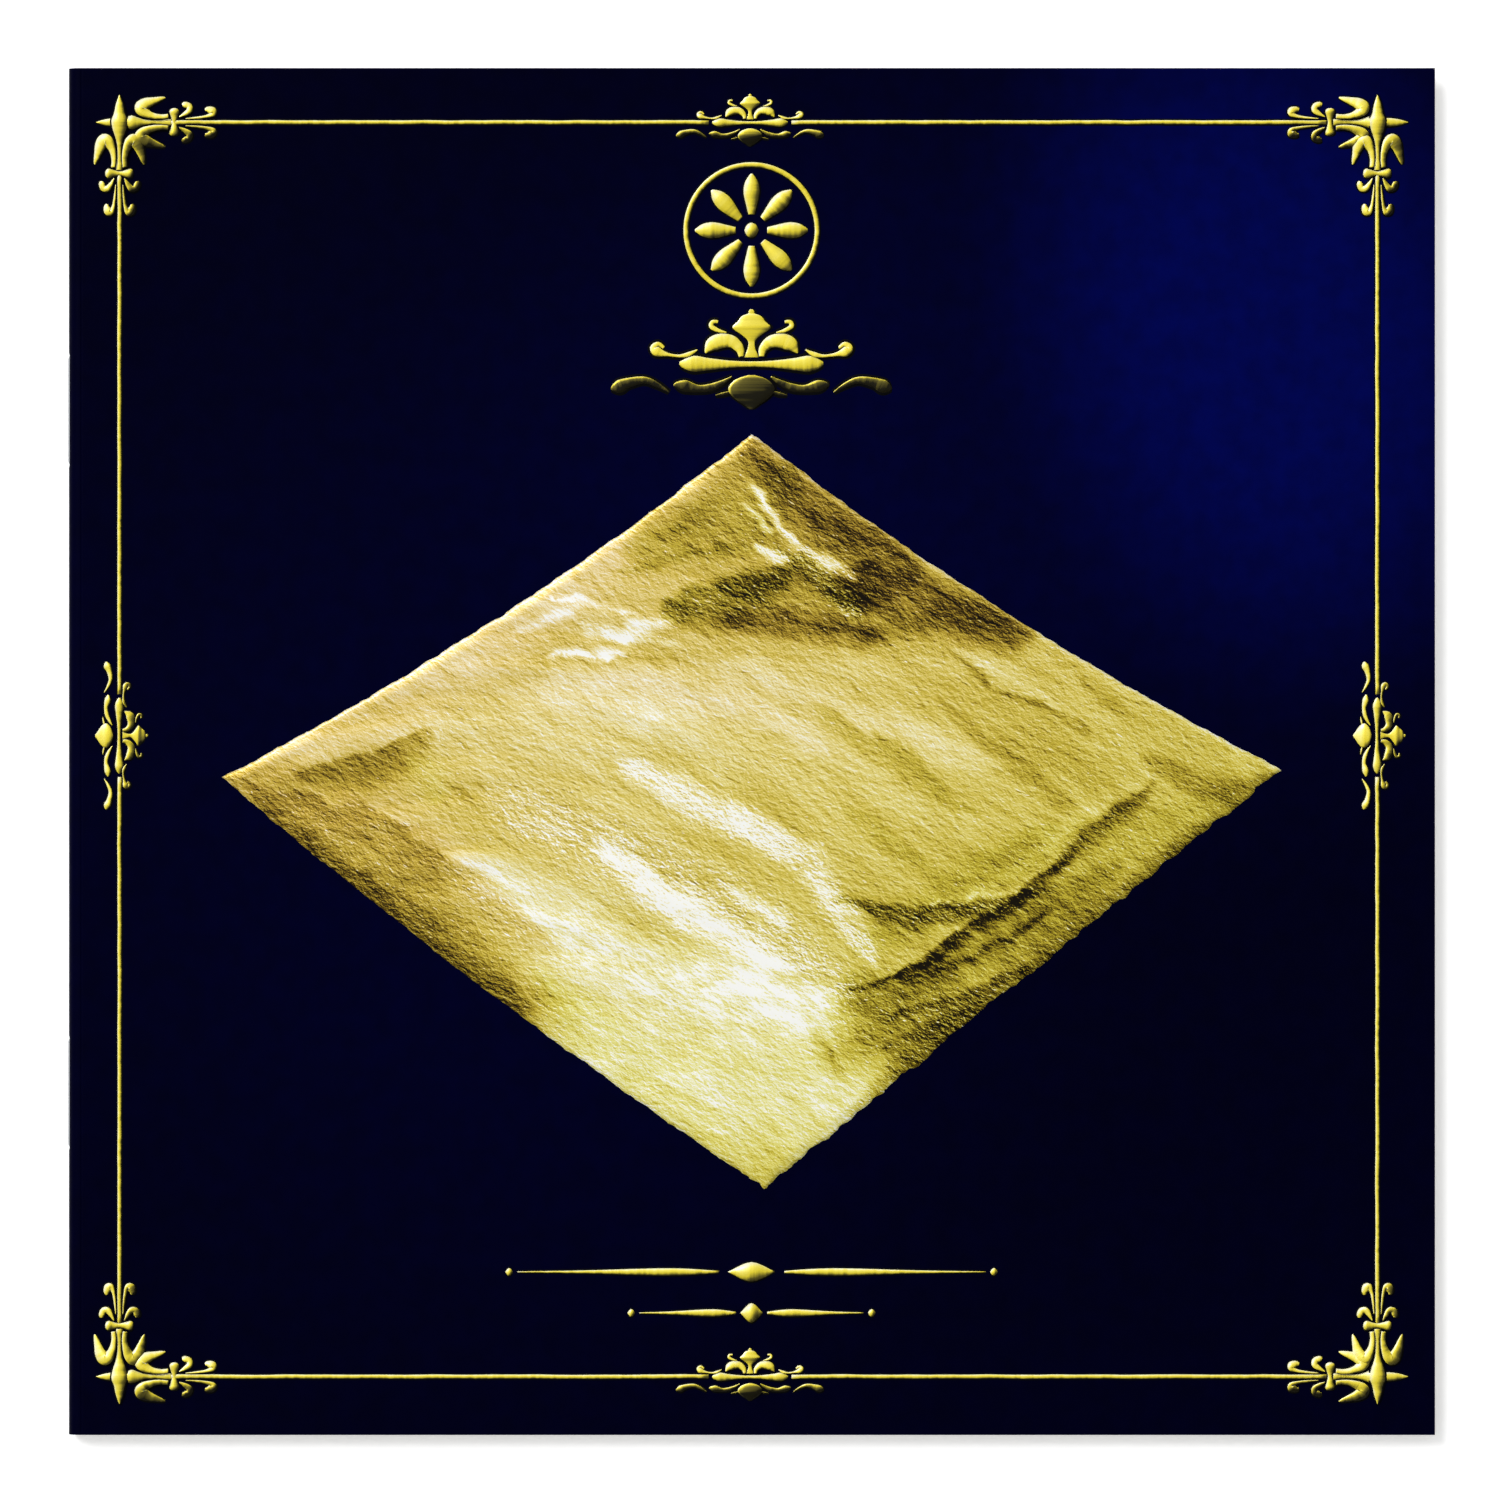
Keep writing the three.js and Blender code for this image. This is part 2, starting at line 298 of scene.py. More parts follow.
# Each shade: a run of points, its reach to the left and to the right of the run, and how much light,
# sparkle and lemon colour it adds on the run.
PICTURE_SHADES = [
    # upper left: pale strip along the edge, a crease and the brown corner below it
    ([(-56, -2.5), (-36, 8.0), (-10, 26)], 3.0, 7.0, 0.10, -0.03, -0.3),
    ([(-62, -4), (-48, -2.0)], 3.0, 4.0, -0.14, 0.03, -0.3),
    ([(-50, -2.2), (-42, -0.2), (-35, 3.4)], 0.35, 6.0, -0.24, 0.03, 0.0),
    ([(-38, 0), (-34, -6)], 4.0, 3.0, 0.02, 0.0, 0.5),
    # lower left: the rim folded down
    ([(-56, -3.6), (-40, -7.4), (-31, -13.2), (-20, -22)], 0.35, 9.0, -0.20, 0.10, -0.6),
    ([(-46, -11.0), (-31, -21.5), (-17, -32.5)], 3.0, 6.0, -0.12, 0.08, -0.2),
    ([(-50, -4.6), (-40, -7.1), (-29, -14)], 5.0, 0.35, 0.05, -0.03, -0.4),
    ([(-56, -5), (-40, -17.4), (-22, -31.4)], 3.6, 2.4, -0.30, 0.08, 0.0),
    ([(-24, -24), (-10, -38), (0, -46)], 5.0, 5.0, 0.0, 0.0, 0.6),
    # middle
    ([(-40, 2), (-18, 3), (0, -6)], 8.0, 12.0, 0.08, 0.03, 0.1),
    ([(-28, 7), (0, 7.5), (28, -1)], 3.5, 7.0, 0.13, -0.01, -0.2),
    ([(-18, 8), (-2, 5), (12, -2)], 2.2, 2.5, 0.06, 0.0, -0.2),
    ([(-16, 5), (6, 0), (26, -9)], 5.0, 6.5, 0.08, 0.0, 0.0),
    # streaks of light in the middle
    ([(-17.5, -9.8), (-10, -15.2), (-4, -19.5), (5, -24.6)], 2.4, 3.0, 0.36, 0.24, 0.0),
    ([(-30, -4), (-14, -12), (0, -19), (12, -27)], 7.0, 6.0, 0.06, 0.32, 0.0),
    ([(-15, -0.4), (-6, -5.6), (4.5, -9.8)], 2.6, 3.4, 0.18, 0.40, 0.0),
    ([(-3, -7.4), (6, -12.2), (8.8, -16.6), (14, -23.5)], 3.4, 2.2, 0.20, 0.40, 0.0),
    ([(-3, -14.4), (4.4, -19.0)], 1.2, 1.2, 0.22, 0.12, 0.0),
    ([(-34, -12), (-12, -24), (12, -31)], 8.0, 9.0, 0.28, 0.10, 0.2),
    ([(-6, -23), (4, -26), (11.2, -26.4)], 1.5, 5.5, 0.14, 0.10, 0.0),
    ([(-26, -30), (0, -38), (18, -38)], 9.0, 11.0, 0.22, 0.06, 0.3),
    # small lights, upper left
    ([(-23, 17.0), (-18, 16.3), (-11.6, 15.0)], 0.5, 0.7, 0.30, 0.06, 0.0),
    ([(-27, 13.2), (-19, 15.8)], 1.1, 1.1, 0.20, 0.10, 0.0),
    ([(-19, 14.2), (-14.5, 12.9), (-8, 15.0)], 1.5, 1.9, 0.30, 0.10, 0.2),
    ([(-17, 12.6), (-7.5, 12)], 1.2, 1.0, 0.14, 0.12, 0.2),
    ([(-22.5, 10.2), (-13.6, 10.2)], 1.5, 0.3, 0.42, 0.0, 0.0),
    # top: dark hollow, bright double crease
    ([(-14, 22.5), (-1, 26), (5, 32)], 4.5, 7.0, -0.16, 0.06, 0.7),
    ([(-10, 15.6), (-2, 18.8), (5, 20.2)], 1.8, 5.6, -0.32, 0.20, 1.0),
    ([(-4, 18.4), (4, 18.8), (12, 16)], 3.0, 3.4, -0.20, 0.06, 0.2),
    ([(0, 25.5), (7, 21), (14, 15.4)], 4.0, 4.0, -0.20, 0.04, 0.2),
    ([(-16, 19.4), (-4, 22.6), (3, 22.4)], 0.4, 1.3, -0.12, 0.02, 0.4),
    ([(-9, 24), (-4, 28), (1, 33)], 2.5, 2.5, -0.10, 0.04, 0.2),
    ([(5, 27), (9, 23.5), (13, 19)], 2.0, 1.2, -0.14, 0.02, 0.0),
    ([(8, 17), (14, 15.2), (22, 13.4)], 1.5, 2.0, -0.12, 0.04, 0.0),
    ([(-5, 14.4), (6, 14.2), (16, 12.0)], 2.6, 2.6, -0.30, 0.06, -0.4),
    ([(-12, 13.0), (0, 16), (14, 13)], 3.0, 3.0, -0.10, 0.04, 0.0),
    ([(-1, 34.4), (8, 25.4), (19, 19.0)], 5.4, 5.0, -0.30, 0.08, -0.3),
    ([(8, 26.2), (19, 20.4)], 2.4, 1.8, -0.14, 0.02, -0.3),
    ([(-0.6, 29.2), (4.6, 23.9), (11.8, 18.0)], 0.8, 1.1, 0.50, 0.26, 0.3),
    ([(-1.4, 27.2), (0.3, 25.5), (2.8, 24.2)], 0.5, 0.8, 0.42, 0.10, 0.3),
    ([(0.2, 23.0), (4.6, 21.2)], 0.8, 1.1, 0.54, 0.20, 0.3),
    ([(2.4, 23.4), (7, 19.8), (12.4, 14.0)], 1.8, 1.6, -0.08, 0.36, 0.8),
    ([(8.6, 19.4), (18, 17.4), (32, 12.4)], 4.0, 5.4, -0.40, 0.08, -0.6),
    ([(11.4, 14.2), (12.0, 20.8)], 0.4, 6.5, -0.10, 0.03, 0.0),
    ([(12, 12.0), (19, 14.6), (28, 14.4)], 2.0, 1.4, -0.12, 0.03, 0.0),
    ([(-8, 10.2), (14, 10.2), (34, 10.0)], 0.5, 4.0, 0.06, 0.0, 0.0),
    # right: long folds
    ([(20.0, 12.2), (27, 7.1), (33, 4.5), (38.6, 1.4)], 0.25, 1.1, -0.26, 0.02, 0.0),
    ([(19.5, 12.8), (28, 7.2), (39, 1.8)], 2.6, 0.2, 0.06, 0.0, 0.0),
    ([(36, 8.2), (45, 3.0)], 0.3, 1.8, -0.14, 0.02, 0.0),
    ([(6, 5.4), (16, 0.5), (25, -7.5)], 0.8, 3.4, -0.18, 0.02, 0.3),
    ([(20, 6.4), (30, -1.5), (37, -7.5)], 0.9, 2.4, -0.13, 0.02, 0.0),
    ([(10, -5), (17, -11), (23, -15)], 0.8, 2.0, -0.12, 0.03, 0.3),
    ([(11, -21.5), (24, -14.5), (34, -8)], 4.0, 4.0, -0.12, 0.06, 0.5),
    ([(42, 0), (52, -4.6), (60, -3)], 2.4, 2.6, -0.22, 0.08, 0.0),
    ([(26, 3), (44, -7)], 3.6, 3.6, -0.06, 0.02, 0.0),
    # lower right: two dark folds, an olive wedge and a torn edge
    ([(8.6, -15.8), (17, -17.5), (23, -17.2), (33, -15.0)], 0.9, 2.2, -0.40, 0.30, 0.6),
    ([(18, -17.0), (32, -14.8)], 0.45, 0.2, 0.24, 0.0, 0.0),
    ([(21, -18.6), (28, -16.8), (34, -14.4)], 0.8, 2.0, -0.14, 0.10, 0.2),
    ([(44, -3), (38, -8), (32, -13.4)], 3.0, 0.6, -0.30, 0.10, 0.0),
    ([(36, -10.6), (27.2, -17.4), (18.3, -23.0), (13, -25.6)], 2.0, 0.6, -0.52, 0.12, 0.0),
    ([(22, -22.0), (8.5, -26.9)], 0.5, 0.4, -0.34, 0.04, 0.0),
    ([(44, -2.0), (33, -10.6), (22, -18)], 0.3, 2.6, 0.09, -0.02, 0.0),
    ([(34, -17.0), (24, -22.8), (14, -25.8)], 1.0, 0.5, -0.30, 0.12, 0.4),
    ([(41, -12), (29, -20), (15, -27)], 4.0, 4.0, -0.28, 0.08, 0.4),
    ([(10.9, -24), (14, -29.5), (26, -28.6)], 7.0, 8.5, -0.22, 0.18, 0.8),
    ([(35, -21.6), (24, -26.3), (14, -30)], 1.3, 0.5, -0.28, 0.10, 0.0),
    ([(24, -28), (14, -33.5)], 1.2, 0.6, -0.18, 0.06, 0.0),
    ([(6.4, -30.5), (10.6, -35.5)], 0.6, 1.8, -0.16, 0.04, 0.3),
    ([(54, -5.4), (30, -24.4), (10, -40.4)], 1.0, 3.0, -0.30, 0.16, 0.0),
    ([(26, -12), (44, -8), (54, -5)], 4.0, 7.0, -0.08, 0.06, 0.3),
]

# The plain devices above and below the leaf picture. A petal is in shares of the rosette's radius. Boss,
# rule and lozenge have places in shares of the radius or half the rule, and half widths in millimetres. A
# bead's places are millimetres past the end of its rule.
ROSETTE_MIDDLE = (0.0, 57.2)
ROSETTE_RADIUS = 7.2
ROSETTE_PETALS = 8
ROSETTE_PETAL = [(0, 0.24, 0.05), (0, 0.38, 0.085), (0, 0.58, 0.125), (0, 0.74, 0.10), (0, 0.86, 0.02)]
ROSETTE_BOSS = [(-0.11, 0.02), (-0.07, 0.6), (0, 0.85), (0.07, 0.6), (0.11, 0.02)]
ROSETTE_RING_HALF = 0.28
ROSETTE_RING_STEPS = 48
FLOURISH_MIDDLE = (0.0, 42.6)
FLOURISH_SCALE = 1.9
UPPER_RULE_MIDDLE = (0.0, -57.1)
UPPER_RULE_WIDTH = 51.4
LOWER_RULE_MIDDLE = (0.0, -61.6)
LOWER_RULE_WIDTH = 24.6
SWELLED_RULE = [(1.0, 0.05), (0.7, 0.18), (0.35, 0.42), (0.14, 0.12)]
RULE_LOZENGE = [(-0.1, 0.02), (0, 1.1), (0.1, 0.02)]
RULE_BEAD = [(0.5, 0.05), (0.7, 0.35), (1.0, 0.42), (1.3, 0.05)]

# Crinkles of beaten leaf, painted as the light and shade that raking light shows on their slopes: how far
# they are drawn out along and across, their turn in degrees, swells to the millimetre, and the reach over
# which a slope is taken.
CREASES = dict(stretch=(2.6, 1.0), turn=-36, per_millimetre=0.2, reach=0.4)
FINE_CRINKLES = dict(stretch=(2.0, 1.0), turn=-24, per_millimetre=1.25, reach=0.12)
CRISP_CRINKLES = dict(
    stretch=(1.7, 1.0), turn=-30, per_millimetre=2.4, reach=0.09, detail=3.0, roughness=0.65,
)
SPECK_SLOPES = dict(stretch=(1.8, 1.0), turn=-28, per_millimetre=1.7, reach=0.12, detail=3.0, roughness=0.6)
FLASH_SLOPES = dict(stretch=(2.8, 1.0), turn=-30, per_millimetre=1.1, reach=0.16)
CRINKLE_DISTORTION = 0.3
# How strongly the painted creases and fine crinkles show, and their painted lit and shaded slopes. The
# painted shade starts past its edge.
CREASE_GAIN = 0.7
FINE_CRINKLE_GAIN = 0.95
LIT_GAIN = 0.8
SHADED_GAIN = 1.5
SHADED_EDGE = 0.02
# In the leaf picture crinkles deepen from this light down, strong light is eased, and crisp crinkles show
# in shade and where the leaf sparkles.
DEEPEST_AT = 1.5
EASED_GAIN, EASED_LEVEL = 0.55, 0.36
CRISP_IN_SHADE = 0.9
CRISP_IN_SPARKLE = 2.0
# Specks come with sparkle and flashes with light: how much, the steepest slope that they need and its edge,
# and the light that they add. Towards the brightest light the leaf loses its cast.
SPECKLE_GAIN, MOST_SPECKLE = 0.5, 0.2
SPECK_SLOPE, SPECK_EDGE, SPECK_LIGHT = 0.22, 0.06, 0.38
FLASH_GAIN, FLASH_LEVEL = 0.95, -0.76
FLASH_SLOPE, FLASH_EDGE, FLASH_LIGHT = 0.12, 0.14, 0.22
CAST_FADES = (0.78, 1.0)

# Where the print glows: middle and half sizes in millimetres, turn in degrees, and strength.
PRINT_GLOWS = [
    ((56.5, 47.5), (35.0, 48.0), 15, 0.74),
    ((-24.0, 0.0), (74.0, 84.0), 0, 0.09),
    ((36.0, 36.0), (84.0, 58.0), 0, 0.15),
]
# A glow is full from this share of the way in. Nearly all swells of a grain lie between its low and high.
GLOW_FULL = 0.75
GRAIN_LOW, GRAIN_HIGH = 0.3, 0.7

# The stage: half the floor's side and its drop below the booklet, the light that fills it up to white, how
# far round from the key lamp the room brightens, its brightness from there to the lamp, and the height of
# its white lower part.
FLOOR_HALF = 4.0
FLOOR_DROP = 0.05 * MM
FLOOR_FILL = 0.35
ROOM_TURN = (-0.2, 1.0)
ROOM_LEVELS = [(0.0, 0.10), (0.35, 0.18), (0.65, 0.45), (0.82, 0.75), (1.0, 1.3)]
WHITE_BELOW = (0.10, 0.28)
KEY_DIRECTION = Vector((-0.45, 0.45, 0.77)).normalized()

# The photograph's frame and the lens that looks straight down on the cover.
VIEW_WIDTH = 164.6 * MM
VIEW_SHIFT = (-0.165 * MM, 0.165 * MM)
LENS = 200
SENSOR = 36
NEAREST, FARTHEST = 0.01, 20.0


def tint(red, green, blue):
    """A colour given in the eye's own steps, 0 to 255, as linear light."""
    shares = (red / 255, green / 255, blue / 255)
    return tuple(s / 12.92 if s <= 0.04045 else ((s + 0.055) / 1.055) ** 2.4 for s in shares)


def smooth_step(value, low, high):
    """0 below low, 1 above high, and a smooth rise between them."""
    share = min(1.0, max(0.0, (value - low) / (high - low)))
    return share * share * (3 - 2 * share)


def colour_property(name, description, default):
    return FloatVectorProperty(
        name=name, description=description, default=default, subtype="COLOR", size=3, min=0.0, max=1.0,
    )


def length_property(name, description, default):
    return FloatProperty(name=name, description=description, default=default, unit="LENGTH", min=0.0)


def strength_property(name, description, default):
    return FloatProperty(name=name, description=description, default=default, min=0.0)


def cells_property(description, default):
    return IntProperty(name="Cells", description=description, default=default, min=8)


class CardLook(bpy.types.PropertyGroup):
    """Colours of the printed card."""

    print_colour: colour_property("Print", "Dark blue of the printed face", tint(0, 0, 22))
    glow_colour: colour_property("Glow", "Lighter blue near the head of the fore-edge", tint(0, 5, 78))
    inside_colour: colour_property("Inside", "Unprinted face of the card", tint(240, 238, 232))
    edge_colour: colour_property("Edge", "Cut edge of the card", tint(214, 210, 202))


class TissueLook(bpy.types.PropertyGroup):
    """Colour and thickness of the tissue sheets."""

    colour: colour_property("Tissue", "Colour of a single tissue sheet", tint(242, 239, 230))
    thickness: length_property("Thickness", "Thickness of a tissue sheet", 0.016 * MM)
    trim: length_property("Trim", "How unevenly the sheets are trimmed", 0.18 * MM)


class LeafLook(bpy.types.PropertyGroup):
    """Colours and crinkle of the metal leaves."""

    colour: colour_property("Leaf", "Colour of the beaten brass", tint(222, 190, 92))
    # The light and shade colours are painted into the leaf along its creases and folds.
    light_colour: colour_property("Light", "Colour of the lit side of a crease", tint(250, 236, 172))
    shade_colour: colour_property("Shade", "Colour of the shaded side of a crease", tint(160, 126, 44))
    thickness: length_property("Thickness", "Thickness of a leaf", 0.004 * MM)
    crinkle: length_property("Crinkle", "Height of the leaf's crinkles", 0.018 * MM)
    cells: cells_property("Mesh cells along a leaf's side", 44)


class OrnamentLook(bpy.types.PropertyGroup):
    """Sizes and colours of the stamped gold ornament."""

    # The five foil colours grade it from painted highlight to painted shade.
    pale_colour: colour_property("Pale gold", "Foil that faces the light", tint(253, 249, 206))
    gold_colour: colour_property("Gold", "Foil in good light", tint(243, 228, 98))
    deep_colour: colour_property("Deep gold", "Foil seen straight on", tint(232, 212, 54))
    olive_colour: colour_property("Olive", "Foil that turns away from the light", tint(116, 107, 40))
    dark_colour: colour_property("Dark", "Foil in shade", tint(26, 24, 10))
    ink_colour: colour_property("Ink", "Dark line round the foil", tint(2, 2, 3))
    line_width: length_property("Line width", "Width of the border lines", 0.46 * MM)
    ink_width: length_property("Ink width", "How far the dark line shows beside the foil", 0.15 * MM)
    swell: strength_property("Swell", "Height of the foil against half its width", 0.42)
    lean: strength_property("Lean", "How steeply leaves of ornament fall away from the line", 0.2)
    # Tone, the light and shade on sloping foil, and the two fades are painted light and shade in the foil's
    # colour.
    tone: strength_property("Tone", "Lightness of flat foil", 0.53)
    painted_slope_shade: strength_property("Carve", "Light and shade on sloping foil", 0.95)
    fade_below: strength_property("Fade below", "Shade below a border line", 0.40)
    fade_beside: strength_property("Fade beside", "Shade to the right of a line", 0.12)


class PictureLook(bpy.types.PropertyGroup):
    """Colours and crinkle of the leaf picture on the cover."""

    pale_colour: colour_property("Pale", "Brightest glints of the leaf", tint(255, 255, 250))
    cream_colour: colour_property("Cream", "Lightest sheen of the leaf", tint(243, 234, 178))
    light_colour: colour_property("Light", "Light gold", tint(228, 210, 118))
    gold_colour: colour_property("Gold", "Middle gold", tint(204, 182, 66))
    ochre_colour: colour_property("Ochre", "Shaded gold", tint(160, 137, 40))
    brown_colour: colour_property("Brown", "Dark hollows", tint(94, 75, 20))
    dark_colour: colour_property("Dark", "Deepest creases", tint(20, 14, 6))
    rose_tint: colour_property("Rose tint", "Cast of the leaf on its rosy side", (1.0, 0.90, 1.0))
    lemon_tint: colour_property("Lemon tint", "Cast of the leaf on its lemon side", (0.95, 1.0, 0.66))
    crinkle: length_property("Crinkle", "Height of the coarse crinkles", 0.07 * MM)
    cells: cells_property("Mesh cells along a side of the picture", 200)


class StapleLook(bpy.types.PropertyGroup):
    """Colour and bends of the stitching wire."""

    colour: colour_property("Steel", "Colour of the wire", tint(196, 198, 202))
    bend: length_property("Bend", "Radius of the wire's centre line at a bend", 0.5 * MM)
    tip_gap: length_property("Tip gap", "Space between the two clinched tips", 1.5 * MM)


class StageLook(bpy.types.PropertyGroup):
    """Floor and light."""

    floor_colour: colour_property("Floor", "Colour of the floor", tint(250, 250, 250))
    key_strength: strength_property("Key", "Strength of the key lamp", 1.6)
    key_spread: FloatProperty(
        name="Key spread", description="How wide the key lamp looks", subtype="ANGLE",
        default=math.radians(24),
    )


LOOKS = {
    "card_look": CardLook,
    "tissue_look": TissueLook,
    "leaf_look": LeafLook,
    "ornament_look": OrnamentLook,
    "picture_look": PictureLook,
    "staple_look": StapleLook,
    "stage_look": StageLook,
}


class Skin:
    """Points and faces of one piece, with each point's flat place in millimetres."""

    def __init__(self):
        self.points = []
        self.places = []
        self.faces = []
        self.finishes = []
        # Each point's painted light level, for foil.
        self.tones = []

    def grid(self, rows, places, finish=0):
        """Quads between rows of points; a face looks to where the rows, then their points, turn left."""
        first, width = len(self.points), len(rows[0])
        for row, row_places in zip(rows, places):
            self.points.extend(row)
            self.places.extend(row_places)
        for row in range(len(rows) - 1):
            for column in range(width - 1):
                corner = first + row * width + column
                self.faces.append((corner, corner + width, corner + width + 1, corner + 1))
                self.finishes.append(finish)
        return first

    def tube(self, rings, places, finish=0, capped=True):
        """A tube through rings of points, with a cap at each end where it does not run into itself."""
        first, count = len(self.points), len(rings[0])
        for ring, place in zip(rings, places):
            self.points.extend(ring)
            self.places.extend([place] * count)
        for step in range(len(rings) - 1):
            for side in range(count):
                after = (side + 1) % count
                low, high = first + step * count, first + (step + 1) * count
                self.faces.append((low + side, low + after, high + after, high + side))
        last = first + (len(rings) - 1) * count
        caps = []
        if capped:
            caps = [tuple(reversed(range(first, first + count))), tuple(range(last, last + count))]
        self.faces.extend(caps)
        self.finishes.extend([finish] * ((len(rings) - 1) * count + len(caps)))


def make_piece(name, skin, *finishes):
    """An object from a skin, smooth but for its sharp edges, with its places kept in a UV map."""
    mesh = bpy.data.meshes.new(name)
    mesh.from_pydata(skin.points, [], skin.faces)
    corners = np.empty(len(mesh.loops), dtype=np.int32)
    mesh.loops.foreach_get("vertex_index", corners)
    places = np.array(skin.places, dtype=np.float32)[corners]
    mesh.uv_layers.new(name=PLACE).data.foreach_set("uv", places.ravel())
    mesh.polygons.foreach_set("material_index", skin.finishes)
    mesh.polygons.foreach_set("use_smooth", [True] * len(mesh.polygons))
    mesh.set_sharp_from_angle(angle=SHARP_EDGE)
    for finish in finishes:
        mesh.materials.append(finish)
    mesh.update()
    piece = bpy.data.objects.new(name, mesh)
    bpy.context.scene.collection.objects.link(piece)
    return piece


def thicken(piece, thickness, inside=0, rim=0):
    """Gives a sheet its thickness, away from the side that its faces look to."""
    modifier = piece.modifiers.new("sheet thickness", "SOLIDIFY")
    modifier.thickness = thickness
    modifier.offset = -1
    modifier.material_offset = inside
    modifier.material_offset_rim = rim


def spread(low, high, count):
    """Count + 1 even steps from low to high."""
    return [low + (high - low) * step / count for step in range(count + 1)]


def hemmed(lines, low=True, high=True):
    """Lines across a sheet, with one more close to a cut edge so that the edge alone looks rounded."""
    first = [lines[0], lines[0] + CUT_EDGE_HEM] if low else [lines[0]]
    last = [lines[-1] - CUT_EDGE_HEM, lines[-1]] if high else [lines[-1]]
    return first + lines[1:-1] + last


def add(tree, kind, inputs=None, **settings):
    """A node with its settings, and a value or a link for each input that is named."""
    made = tree.nodes.new(kind)
    for key, value in settings.items():
        setattr(made, key, value)
    for key, value in (inputs or {}).items():
        if isinstance(value, bpy.types.NodeSocket):
            tree.links.new(value, made.inputs[key])
        else:
            made.inputs[key].default_value = value
    return made


def new_finish(name, **constants):
    """A material with one principled shader whose constant sockets are set, and the tree that it is in."""
    material = bpy.data.materials.new(name)
    material.use_nodes = True
    tree = material.node_tree
    shader = tree.nodes["Principled BSDF"]
    for key, value in constants.items():
        shader.inputs[key.replace("_", " ").title().replace("Ior", "IOR")].default_value = value
    return material, tree, shader


def flat_place(tree):
    """Where a point lies on the flat piece, in millimetres."""
    return add(tree, "ShaderNodeUVMap", uv_map=PLACE).outputs["UV"]


def stretched(tree, vector, stretch, turn=0.0):
    """A place in a grain that is turned by some degrees and drawn out along and across its turn."""
    settings = {"Vector": vector, "Rotation": (0, 0, math.radians(turn)), "Scale": (*stretch, 1)}
    return add(tree, "ShaderNodeMapping", settings, vector_type="TEXTURE").outputs["Vector"]


def grain(tree, vector, per_millimetre, detail=3.0, roughness=0.5, distortion=0.0):
    """Soft noise, 0 to 1, of a number of swells to the millimetre."""
    settings = {
        "Vector": vector, "Scale": per_millimetre, "Detail": detail, "Roughness": roughness,
        "Distortion": distortion,
    }
    return add(tree, "ShaderNodeTexNoise", settings, noise_dimensions="2D").outputs["Fac"]


def remap(tree, value, low, high, to_low, to_high, smooth=False):
    kind = "SMOOTHSTEP" if smooth else "LINEAR"
    settings = {0: value, 1: low, 2: high, 3: to_low, 4: to_high}
    return add(tree, "ShaderNodeMapRange", settings, interpolation_type=kind).outputs[0]


def mottled(tree, vector, per_millimetre, detail, low, high):
    """Soft noise between two values."""
    swells = grain(tree, vector, per_millimetre, detail)
    return remap(tree, swells, GRAIN_LOW, GRAIN_HIGH, low, high)


def toned_by(colour, share):
    """A plain colour made darker, or lighter with a share above 1."""
    return tuple(part * share for part in colour)


def combine(tree, operation, first, second, third=0.0):
    settings = {0: first, 1: second, 2: third}
    return add(tree, "ShaderNodeMath", settings, operation=operation).outputs[0]


def blended(tree, factor, first, second):
    """One colour at factor 0, the other at 1. A plain colour has three parts."""
    made = add(tree, "ShaderNodeMix", {0: factor}, data_type="RGBA")
    for socket, colour in ((made.inputs[6], first), (made.inputs[7], second)):
        if isinstance(colour, bpy.types.NodeSocket):
            tree.links.new(colour, socket)
        else:
            socket.default_value = (*colour, 1)
    return made.outputs[2]


def graded(tree, factor, stops):
    """A colour ramp with a stop for each pair of place and colour."""
    made = add(tree, "ShaderNodeValToRGB", {0: factor})
    elements = made.color_ramp.elements
    while len(elements) < len(stops):
        elements.new(1.0)
    for element, (position, colour) in zip(elements, stops):
        element.position = position
        element.color = (*colour, 1)
    return made.outputs["Color"]


def soft_spot(tree, vector, middle, half_sizes, turn=0.0):
    """1 in the middle of a soft oval and 0 outside it."""
    settings = {
        "Vector": vector, "Location": (*middle, 0), "Rotation": (0, 0, math.radians(turn)),
        "Scale": (*half_sizes, 1),
    }
    mapped = add(tree, "ShaderNodeMapping", settings, vector_type="TEXTURE").outputs["Vector"]
    ball = add(tree, "ShaderNodeTexGradient", {"Vector": mapped}, gradient_type="SPHERICAL")
    return remap(tree, ball.outputs["Fac"], 0.0, GLOW_FULL, 0.0, 1.0, smooth=True)


def set_bump(tree, shader, height, distance, strength=1.0):
    made = add(tree, "ShaderNodeBump", {"Height": height, "Distance": distance, "Strength": strength})
    tree.links.new(made.outputs["Normal"], shader.inputs["Normal"])


def set_input(tree, shader, name, value):
    tree.links.new(value, shader.inputs[name])


def printed_finish(look):
    """Dark blue print on smooth card, lighter towards one corner, with a faint mottle."""
    material, tree, shader = new_finish("printed card", specular_ior_level=0.012)
    place = flat_place(tree)
    glow = 0.0
    for middle, half_sizes, turn, strength in PRINT_GLOWS:
        spot = soft_spot(tree, place, middle, half_sizes, turn)
        glow = combine(tree, "MULTIPLY_ADD", spot, strength, glow)
    colour = blended(tree, glow, look.print_colour, look.glow_colour)
    toned = add(tree, "ShaderNodeVectorMath", {0: colour}, operation="SCALE")
    mottle = mottled(tree, place, per_millimetre=0.35, detail=4.0, low=0.86, high=1.14)
    tree.links.new(mottle, toned.inputs["Scale"])
    set_input(tree, shader, "Base Color", toned.outputs[0])
    gloss = mottled(tree, place, per_millimetre=0.8, detail=3.0, low=0.36, high=0.5)
    set_input(tree, shader, "Roughness", gloss)
    set_bump(tree, shader, grain(tree, place, per_millimetre=5.0), distance=0.004 * MM)
    return material


